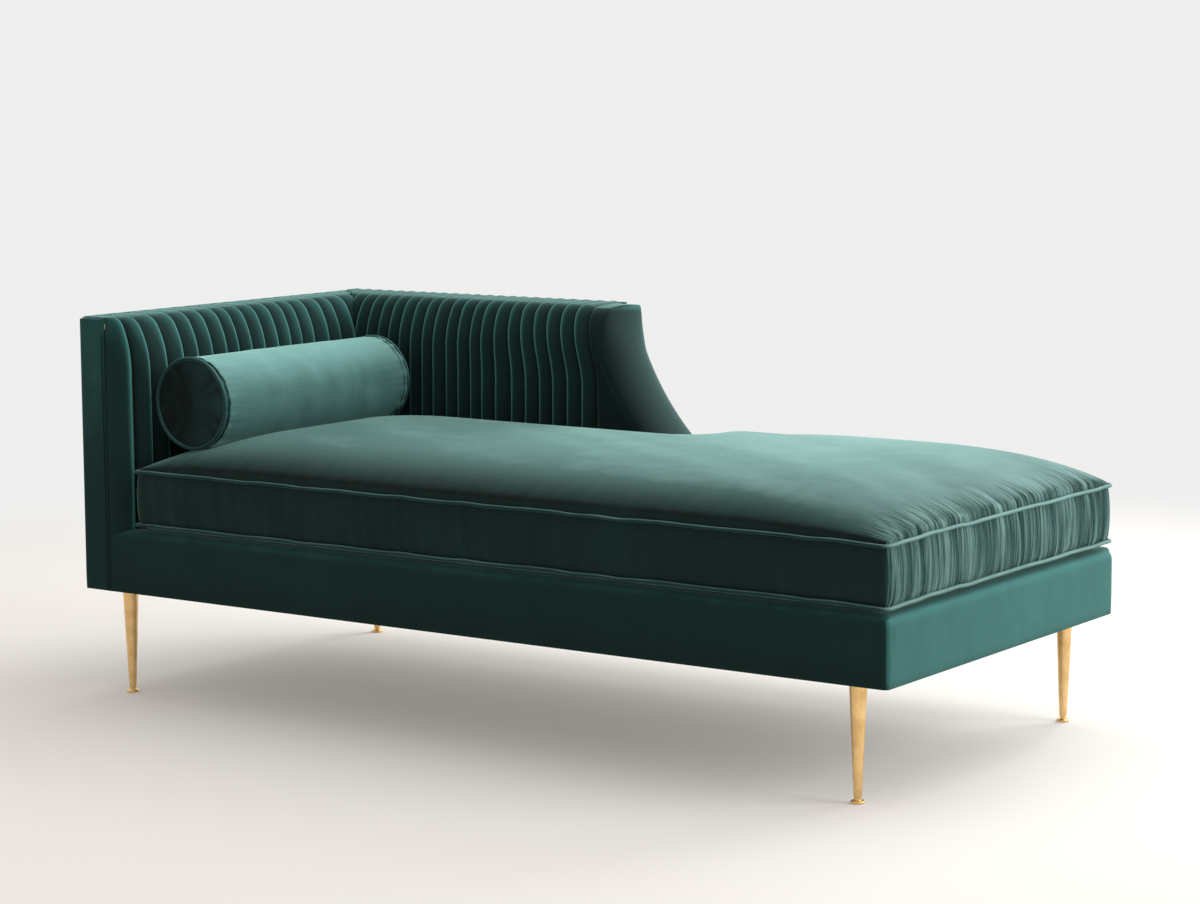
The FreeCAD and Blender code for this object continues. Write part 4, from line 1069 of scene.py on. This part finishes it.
@dataclass
class Cushion(Upholstery):
    """The loose seat cushion: a stepped box form with a crowned top, gathered ends and piped seams.

    The dent fields say where the bolster lies: its axis, its radius with a little play, the half width that
    it presses and the stretch along Y, which eases in and out.
    """

    left: float = -0.7275
    notch_x: float = 0.0615
    notch_y: float = 0.2475
    edge: float = 0.0015
    low_seam: float = 0.3233
    high_seam: float = 0.4213
    crown: float = 0.068
    welt: float = 0.0032
    dent_x: float = -0.643
    dent_z: float = 0.5441
    dent_radius: float = 0.0868
    dent_half: float = 0.082
    dent_start: float = -0.352
    dent_end: float = 0.226
    dent_ease: float = 0.030

    def build(self) -> None:
        """Make the cushion and its welts."""
        piece = self.block()
        self.crowned(piece)
        self.gathered(piece)
        self.hand_over(piece, Slot.CUSHION, "cushion", "cushion_top_panel", "cushion_boxing",
                       "cushion_bottom_panel", "cushion_zip", "cushion_core", "cushion_wadding")
        for name, level in (("cushion_welt_bottom", self.low_seam), ("cushion_welt_top", self.high_seam)):
            self.welt_round(name, level)

    def outline(self, inset: float, radius: float = 0.014, steps: int = 6) -> list[tuple[float, float]]:
        """Return the stepped plan's points, drawn in by an inset, with rounded corners."""
        left, right = self.left - self.edge + inset, self.foot - inset
        near, far = self.front + inset, self.rear - inset
        step_x, step_y = self.notch_x - self.edge + inset, self.notch_y + self.edge - inset
        corners = [(left, near), (right, near), (right, far), (step_x, far), (step_x, step_y), (left, step_y)]
        points = []
        for number, here in enumerate(corners):
            before, after = Vector(corners[number - 1]), Vector(corners[(number + 1) % 6])
            place = Vector(here)
            to, out = (before - place).normalized(), (after - place).normalized()
            centre = place + (to + out) * radius
            for share in np.linspace(0, 1, steps):
                angle = share * math.pi / 2
                points.append(tuple(centre - out * radius * math.cos(angle) - to * radius * math.sin(angle)))
        return points

    def block(self) -> Piece:
        """Make the plain stepped block and remesh it evenly."""
        points = self.outline(0.0045)
        deselect()
        bpy.ops.mesh.primitive_circle_add(vertices=len(points), radius=1, fill_type="NGON")
        piece = named("seat_cushion")
        write_points(piece, np.array([(x, y, self.low_seam) for x, y in points]))
        rise = (0, 0, self.high_seam - self.low_seam)
        with edited(piece):
            bpy.ops.mesh.extrude_region_move(TRANSFORM_OT_translate={"value": rise})
            bpy.ops.mesh.select_all(action="SELECT")
            bpy.ops.mesh.normals_make_consistent(inside=False)
        finish_with(piece, "REMESH", mode="VOXEL", voxel_size=0.0075)
        finish_with(piece, "SUBSURF", levels=1, render_levels=1)
        return piece

    def edge_distance(self, x: Points, y: Points, reach_x: float, reach_y: float) -> Laid:
        """Return how far inside the plan each point is, as shares of a reach along X and along Y.

        The reach is shorter at the rear, where the cushion stays full against the back.
        """
        near = np.clip((y - self.front) / reach_y, 0, 1)
        far_edge = np.where(x > self.notch_x, self.rear, self.notch_y)
        far = np.clip((far_edge - y) / (reach_y * 0.5), 0, 1)
        left_edge = np.where(y > self.notch_y, self.notch_x, self.left)
        left = np.clip((x - left_edge) / reach_x, 0, 1)
        right = np.clip((self.foot - x) / reach_x, 0, 1)
        corner = np.clip(np.hypot(x - self.notch_x, y - self.notch_y) / (reach_y * 0.5), 0, 1)
        corner = np.where((x > self.notch_x) & (y < self.notch_y), corner, 1)
        return np.minimum(left, right), np.minimum(np.minimum(near, far), corner)

    def crowned(self, piece: Piece) -> None:
        """Swell the top into a crown, the sides out a little and the bottom down to the deck."""
        points = read_points(piece)
        x, y, z = points.T
        along, across = self.edge_distance(x, y, 0.36, 0.30)
        dome = (1 - (1 - along) ** 2.6) ** (1 / 1.9) * (1 - (1 - across) ** 2.6) ** (1 / 1.9)
        share = eased(z, self.high_seam - 0.012, self.high_seam - 0.001)
        belly_along, belly_across = self.edge_distance(x, y, 0.05, 0.05)
        belly = np.minimum(belly_along, belly_across)
        under = eased(-z, -(self.low_seam + 0.012), -(self.low_seam + 0.001))
        rise = self.crown * dome * (1 + 0.012 * noise_along(x + y * 0.4, 0.22, 41))
        lift = rise * share - (self.low_seam - self.deck - 0.0006) * (1 - (1 - belly) ** 2) * under
        middle = np.clip((z - self.low_seam) / (self.high_seam - self.low_seam), 0, 1)
        normals = read_normals(piece)
        side = np.clip(1 - np.abs(normals[:, 2]) * 1.4, 0, 1)
        swell = 0.0035 * np.sin(middle * math.pi) * side
        points[:, 0] += normals[:, 0] * swell
        points[:, 1] += normals[:, 1] * swell
        points[:, 2] += lift
        points[:, 2] = np.maximum(points[:, 2], self.deck + 0.0004)
        points[:, 2] -= self.bolster_dent(points)
        write_points(piece, points)

    def bolster_dent(self, points: Points) -> Points:
        """Return how far the bolster presses each point of the top down."""
        x, y, z = points.T
        across = x - self.dent_x
        inside = np.abs(across) < self.dent_half
        fall = np.clip(self.dent_radius ** 2 - np.where(inside, across, 0) ** 2, 0, None)
        along = eased(y, self.dent_start, self.dent_start + self.dent_ease)
        along = along * (1 - eased(y, self.dent_end - self.dent_ease, self.dent_end))
        deep = np.clip(z - (self.dent_z - np.sqrt(fall)), 0, None) * along
        return np.where(inside & (z > self.high_seam + 0.004), deep, 0)

    def gathered(self, piece: Piece) -> None:
        """Pull gathers into the boxing and the top beside the welts, and paint the light and shade."""
        points, normals = read_points(piece), read_normals(piece)
        x, y, z = points.T
        middle = np.clip((z - self.low_seam) / (self.high_seam - self.low_seam), 0, 1)
        near_end = eased(x, 0.80, 0.84)
        end = eased(normals[:, 0], 0.55, 0.9) * near_end
        front = eased(-normals[:, 1], 0.55, 0.9)
        slant = y + (middle - 0.5) * 0.012
        folds = 0.62 * noise_along(slant, 0.0125, 51) + 0.34 * noise_along(slant, 0.029, 52)
        fade = 0.65 + 0.5 * np.abs(middle - 0.5)
        move = 0.0026 * end * folds * fade
        slant_x = x + (middle - 0.5) * 0.01
        move += 0.0007 * front * noise_along(slant_x, 0.014, 54)
        top = eased(normals[:, 2], 0.2, 0.6) * eased(z, self.high_seam - 0.002, self.high_seam + 0.006)
        from_end, from_front = self.foot - x, y - self.front
        fan = y + (y + 0.05) * 0.25 * from_end / 0.12
        pulled = top * (1 - eased(from_end, 0.008, 0.085))
        move += 0.0010 * pulled * noise_along(fan, 0.0125, 55)
        move += 0.0005 * top * (1 - eased(from_front, 0.0, 0.08)) * noise_along(x, 0.02, 56)
        low = eased(-normals[:, 2], 0.2, 0.6)
        move += 0.0010 * low * (1 - eased(from_end, 0.0, 0.06)) * noise_along(y, 0.012, 57)
        write_points(piece, points + normals * move[:, None])
        # Painted light and shade: the foot end and the top lighter, most to the right and, on the left,
        # towards the rear; the front and the crown's front slope darker; painted highlights on the gathers'
        # crests and a little random tone on top.
        up = eased(normals[:, 2], 0.55, 0.99)
        right = eased(x, -0.2, 0.75)
        light = 0.26 + 0.20 * end + 0.16 * up + 0.15 * up * right - 0.10 * front
        light += 0.26 * up * eased(y, -0.20, 0.30) * (1 - 0.8 * eased(x, 0.25, 0.75))
        light -= 0.24 * top * eased(-normals[:, 1], 0.10, 0.42)
        light += 50 * move * end + 60 * move * pulled + 0.05 * up * noise_along(x * 0.6 + y, 0.06, 58)
        paint_tone_and_light(piece, light)
        mark_gathers(piece, end * fade + 0.75 * pulled + 0.10 * front * fade + 0.5 * low * near_end)
        smooth(piece, 60)

    def welt_round(self, name: str, level: float) -> None:
        """Make one piped seam, waved a little as sewn velvet is."""
        loop = np.array(self.outline(self.welt - 0.0006, 0.012))
        ends = np.vstack([loop[1:], loop[:1]])
        line = []
        for here, there in zip(loop, ends):
            count = max(1, int(np.hypot(*(there - here)) / 0.010))
            line += [here + (there - here) * share for share in np.arange(count) / count]
        spots = np.array(line)
        run = np.cumsum(np.hypot(*np.diff(spots, axis=0, prepend=spots[:1]).T))
        wave = 0.0012 * noise_along(run, 0.045, 61)
        dip = 0.003 * np.exp(-((spots[:, 0] - self.foot) ** 2 + (spots[:, 1] - self.front) ** 2) / 0.0025)
        points = [(x, y, level + lift) for (x, y), lift in zip(spots, wave - dip)]
        piece = tube(name + "_velvet", points, self.welt, closed=True)
        normals = read_normals(piece)
        # Painted light: the welt lighter on its foot-end side and on top.
        paint_tone_and_light(piece, 0.38 + 0.30 * normals[:, 0] + 0.22 * normals[:, 2])
        self.hand_over(piece, Slot.CUSHION, "cushion", name)


@dataclass
class Bolster(Upholstery):
    """The round bolster lying along the arm, with gathered ends and piping."""

    axis_x: float = -0.643
    axis_z: float = 0.5441
    radius: float = 0.0855
    start: float = -0.332
    end: float = 0.204
    piping: float = 0.0035
    second_seam: float = 0.0155
    second_thick: float = 0.0022
    second_sunk: float = 0.0012

    def build(self) -> None:
        """Make the bolster's cover, ends and piping."""
        self.cover()
        self.ends()
        self.rings()

    def cover(self) -> None:
        """Make the velvet tube, puckered beside the piping and creased a little along its length."""

        def lay(around: Points, along: Points) -> Laid:
            """Lay the tube's velvet."""
            angle = around * math.tau
            y = self.start + self.piping + (self.end - self.start - self.piping * 2) * along
            from_start, from_end = y - self.start, self.end - y
            arc = angle * self.radius
            ring = np.exp(-from_start / 0.020) + 0.8 * np.exp(-from_end / 0.020)
            pucker = 0.0022 * ring * noise_along(np.abs(arc - math.pi * self.radius), 0.0075, 71)
            crease = 0.0008 * noise_along(arc + y * 1.3, 0.045, 72) * noise_along(y, 0.09, 73)
            tuck = -0.0035 * np.exp(-((from_start - 0.011) / 0.0035) ** 2)
            sag = 0.0012 * np.sin(along * math.pi)
            seam = eased(np.minimum(around, 1 - around), 0, 0.03)
            radius = self.radius - 0.002 + sag + (pucker + crease) * seam + tuck
            # Painted light and shade: the upper side lighter, painted highlights and shade on the puckers and
            # creases, and painted shade in the tuck beside the seam.
            light = 0.58 + 0.26 * eased(np.sin(angle - 0.3), -0.2, 0.9)
            light += 40 * (pucker + crease) * seam + 60 * tuck
            x = self.axis_x + radius * np.cos(angle)
            return np.stack([x, y, self.axis_z + radius * np.sin(angle)], 1), light

        piece = laid_sheet("bolster_velvet_cover", 240, 150, lay)
        mend_surface(piece, 0.00005)
        along = read_points(piece)[:, 1]
        near_seam = np.exp(-(along - self.start) / 0.018) + 0.8 * np.exp(-(self.end - along) / 0.018)
        mark_gathers(piece, 0.07 + 0.8 * near_seam)
        smooth(piece, 60)
        finish_with(piece, "SOLIDIFY", thickness=self.cloth, offset=-1)
        self.hand_over(piece, Slot.BOLSTER, "bolster", "bolster_cover", "bolster_core")

    def ends(self) -> None:
        """Make the two end discs, slightly sunk in the middle with soft folds from the edge."""
        discs = []
        for place, out in ((self.start, -1), (self.end, 1)):

            def lay(around: Points, inward: Points, place: float = place,
                    out: int = out) -> Laid:
                """Lay one disc's velvet."""
                angle = around * math.tau
                reach = (self.radius - 0.0035) * (1 - inward)
                fold = 0.0016 * noise_along(np.abs(angle - math.pi) * 0.06, 0.011, 74 + out) * (1 - inward)
                fold = fold * eased(inward, 0.0, 0.10) * (1 - eased(inward, 0.35, 0.9))
                sunk = 0.0035 * eased(inward, 0.02, 0.5)
                x, z = self.axis_x + reach * np.cos(angle), self.axis_z + reach * np.sin(angle)
                # Painted light and shade: the end discs dark, lighter on their +X side, with painted
                # highlights and shade on the folds.
                light = 0.05 + 0.07 * np.cos(angle) + 55 * fold
                return np.stack([x, place + out * (fold - 0.0035 - sunk), z], 1), light

            disc = laid_sheet("disc", 120, 26, lay)
            mend_surface(disc, 0.00005)
            if (read_normals(disc)[:, 1].mean() > 0) != (out > 0):
                turn_over(disc)
            finish_with(disc, "SOLIDIFY", thickness=0.001, offset=-1)
            discs.append(disc)
        piece = joined("bolster_end_velvet", discs)
        smooth(piece, 60)
        self.hand_over(piece, Slot.BOLSTER, "bolster", "bolster_ends")

    def rings(self) -> None:
        """Make the piping at each end and the second, ruffled seam beside it."""
        rings = []
        kinds = ((self.piping, 0, self.piping), (self.second_seam, self.second_sunk, self.second_thick))
        for away, sunk, thick in kinds:
            for place in (self.start + away, self.end - away):
                line = []
                for angle in np.linspace(0, math.tau, 120, endpoint=False):
                    ruffle = 0.0007 * math.sin(angle * 19) * math.cos(angle * 5)
                    wobble = ruffle if sunk else 0.0002 * math.sin(angle * 7)
                    reach = self.radius - sunk + 0.0005 - thick + wobble
                    line.append((self.axis_x + reach * math.cos(angle), place + wobble,
                                 self.axis_z + reach * math.sin(angle)))
                rings.append(tube("ring", line, thick, closed=True))
        piece = joined("bolster_piping_velvet", rings)
        normals = read_normals(piece)
        # Painted light: the piping lighter on its +X side and on top.
        paint_tone_and_light(piece, 0.26 + 0.22 * normals[:, 0] + 0.22 * normals[:, 2])
        self.hand_over(piece, Slot.BOLSTER, "bolster", "bolster_piping")


@dataclass
class Legs(Upholstery):
    """Four tapered brass legs with their plates, screws and adjustable feet."""

    names: Sequence[str] = ("front_left", "front_right", "back_left", "back_right")

    def build(self) -> None:
        """Finish every leg's parts."""
        for name in self.names:
            self.finish_nodes(Slot.BRASS, f"leg_{name}", f"leveller_{name}")
        self.finish_nodes(Slot.STEEL, "leg_plates", "plate_screws", "leg_studs")


def seen_directly(tree: bpy.types.NodeTree) -> Socket:
    """Return 1 for camera, mirror and see-through rays, and 0 for rays that only carry light."""
    rays = tree.nodes.new("ShaderNodeLightPath")
    total = rays.outputs["Is Camera Ray"]
    for name in ("Is Glossy Ray", "Is Transmission Ray"):
        node = tree.nodes.new("ShaderNodeMath")
        node.operation, node.use_clamp = "ADD", True
        tree.links.new(total, node.inputs[0])
        tree.links.new(rays.outputs[name], node.inputs[1])
        total = node.outputs[0]
    return total


@dataclass
class Studio:
    """A plain pale floor, soft lamps and the camera at the photograph's angle."""

    camera_place: tuple[float, float, float] = (3.1238, -4.4314, 1.1568)
    azimuth: float = 34.88
    pitch: float = 7.28
    roll: float = -0.30
    lens: float = 91.44
    white: float = 0.86

    def build(self) -> None:
        """Set the studio."""
        self.floor()
        self.world()
        self.lamp("window", (1.2, 4.2, 2.3), (0.1, 0, 0.4), 3.2, 190)
        self.lamp("side", (4.0, 0.9, 1.9), (0.2, 0, 0.35), 2.2, 85)
        self.lamp("overhead", (-0.2, 1.0, 3.6), (0, 0, 0.2), 3.4, 45)
        self.camera()
        bpy.context.scene.view_settings.view_transform = "Standard"

    @property
    def pale(self) -> Colour:
        """The plain tone of the background."""
        return self.white, self.white, self.white * 0.995

    @property
    def warm(self) -> Colour:
        """The warm tone of the floor's faint glow near the object, a painted lift of its shadows."""
        return self.white, self.white * 0.92, self.white * 0.84

    def lamp(self, name: str, place: Sequence[float], aim: Sequence[float], size: float,
             power: float) -> None:
        """Add one square soft lamp."""
        light = bpy.data.lights.new(name, "AREA")
        light.shape, light.size, light.energy = "SQUARE", size, power
        thing = bpy.data.objects.new(name, light)
        bpy.context.scene.collection.objects.link(thing)
        thing.location = place
        thing.rotation_euler = (Vector(aim) - Vector(place)).to_track_quat("-Z", "Y").to_euler()

    def floor(self) -> None:
        """Add the floor, which shows the object's shadow near it and plain paleness further off; near the
        object it also glows faintly in a warm tone, a painted lift of the shadow.
        """
        deselect()
        bpy.ops.mesh.primitive_plane_add(size=60)
        piece = named("studio_floor")
        nodes = Nodes("pale_floor")
        near = nodes.add("ShaderNodeVectorMath", operation="LENGTH")
        nodes.join(nodes.place, near.inputs[0])
        far = nodes.add("ShaderNodeMapRange", interpolation_type="SMOOTHSTEP")
        # To Min keeps a faint warm glow on the floor near the object: painted light lifting the shadow.
        for key, value in (("From Min", 1.1), ("From Max", 3.2), ("To Min", 0.22)):
            far.inputs[key].default_value = value
        nodes.join(near.outputs["Value"], far.inputs["Value"])
        plain = nodes.add("ShaderNodeEmission")
        nodes.join(nodes.ramp(far.outputs["Result"], [(0.22, self.warm), (1.0, self.pale)]),
                   plain.inputs["Color"])
        nodes.set(Base_Color=(0.84, 0.828, 0.806, 1), Roughness=0.9, Specular_IOR_Level=0.1)
        mix = nodes.add("ShaderNodeMixShader")
        nodes.join(nodes.calc(far.outputs["Result"], seen_directly(nodes.tree), "MULTIPLY"), mix.inputs[0])
        nodes.join(nodes.shader.outputs[0], mix.inputs[1])
        nodes.join(plain.outputs[0], mix.inputs[2])
        nodes.join(mix.outputs[0], nodes.tree.nodes["Material Output"].inputs["Surface"])
        piece.data.materials.append(nodes.material)

    def world(self) -> None:
        """Light the room softly, and show the camera a plain pale background."""
        world = bpy.data.worlds.new("studio")
        bpy.context.scene.world = world
        world.use_nodes = True
        tree = world.node_tree
        soft, shown = tree.nodes["Background"], tree.nodes.new("ShaderNodeBackground")
        soft.inputs["Color"].default_value = (1.0, 0.96, 0.91, 1)
        soft.inputs["Strength"].default_value = 0.62
        shown.inputs["Color"].default_value = (*self.pale, 1)
        mix = tree.nodes.new("ShaderNodeMixShader")
        for source, target in ((seen_directly(tree), mix.inputs[0]), (soft.outputs[0], mix.inputs[1]),
                               (shown.outputs[0], mix.inputs[2]),
                               (mix.outputs[0], tree.nodes["World Output"].inputs["Surface"])):
            tree.links.new(source, target)

    def camera(self) -> None:
        """Set the camera where the photograph was taken from."""
        view = bpy.data.cameras.new("photo_view")
        view.lens, view.sensor_width, view.sensor_fit = self.lens, 36, "HORIZONTAL"
        view.clip_end = 100
        thing = bpy.data.objects.new("photo_view", view)
        bpy.context.scene.collection.objects.link(thing)
        thing.location = self.camera_place
        turn = Euler((math.radians(90 - self.pitch), 0, math.radians(self.azimuth)), "XYZ").to_matrix()
        roll = Euler((0, 0, math.radians(self.roll)), "XYZ").to_matrix()
        thing.rotation_euler = (turn @ roll).to_euler()
        bpy.context.scene.camera = thing


def main() -> None:
    """Set the studio and build the sub-assemblies in order."""
    logging.basicConfig(level=logging.INFO, format="%(message)s")
    deselect()
    Studio().build()
    palette = Palette()
    for part in (Base, Arm, Back, Cushion, Bolster, Legs):
        part(palette).build()
    deselect()


if __name__ == "__main__":
    main()
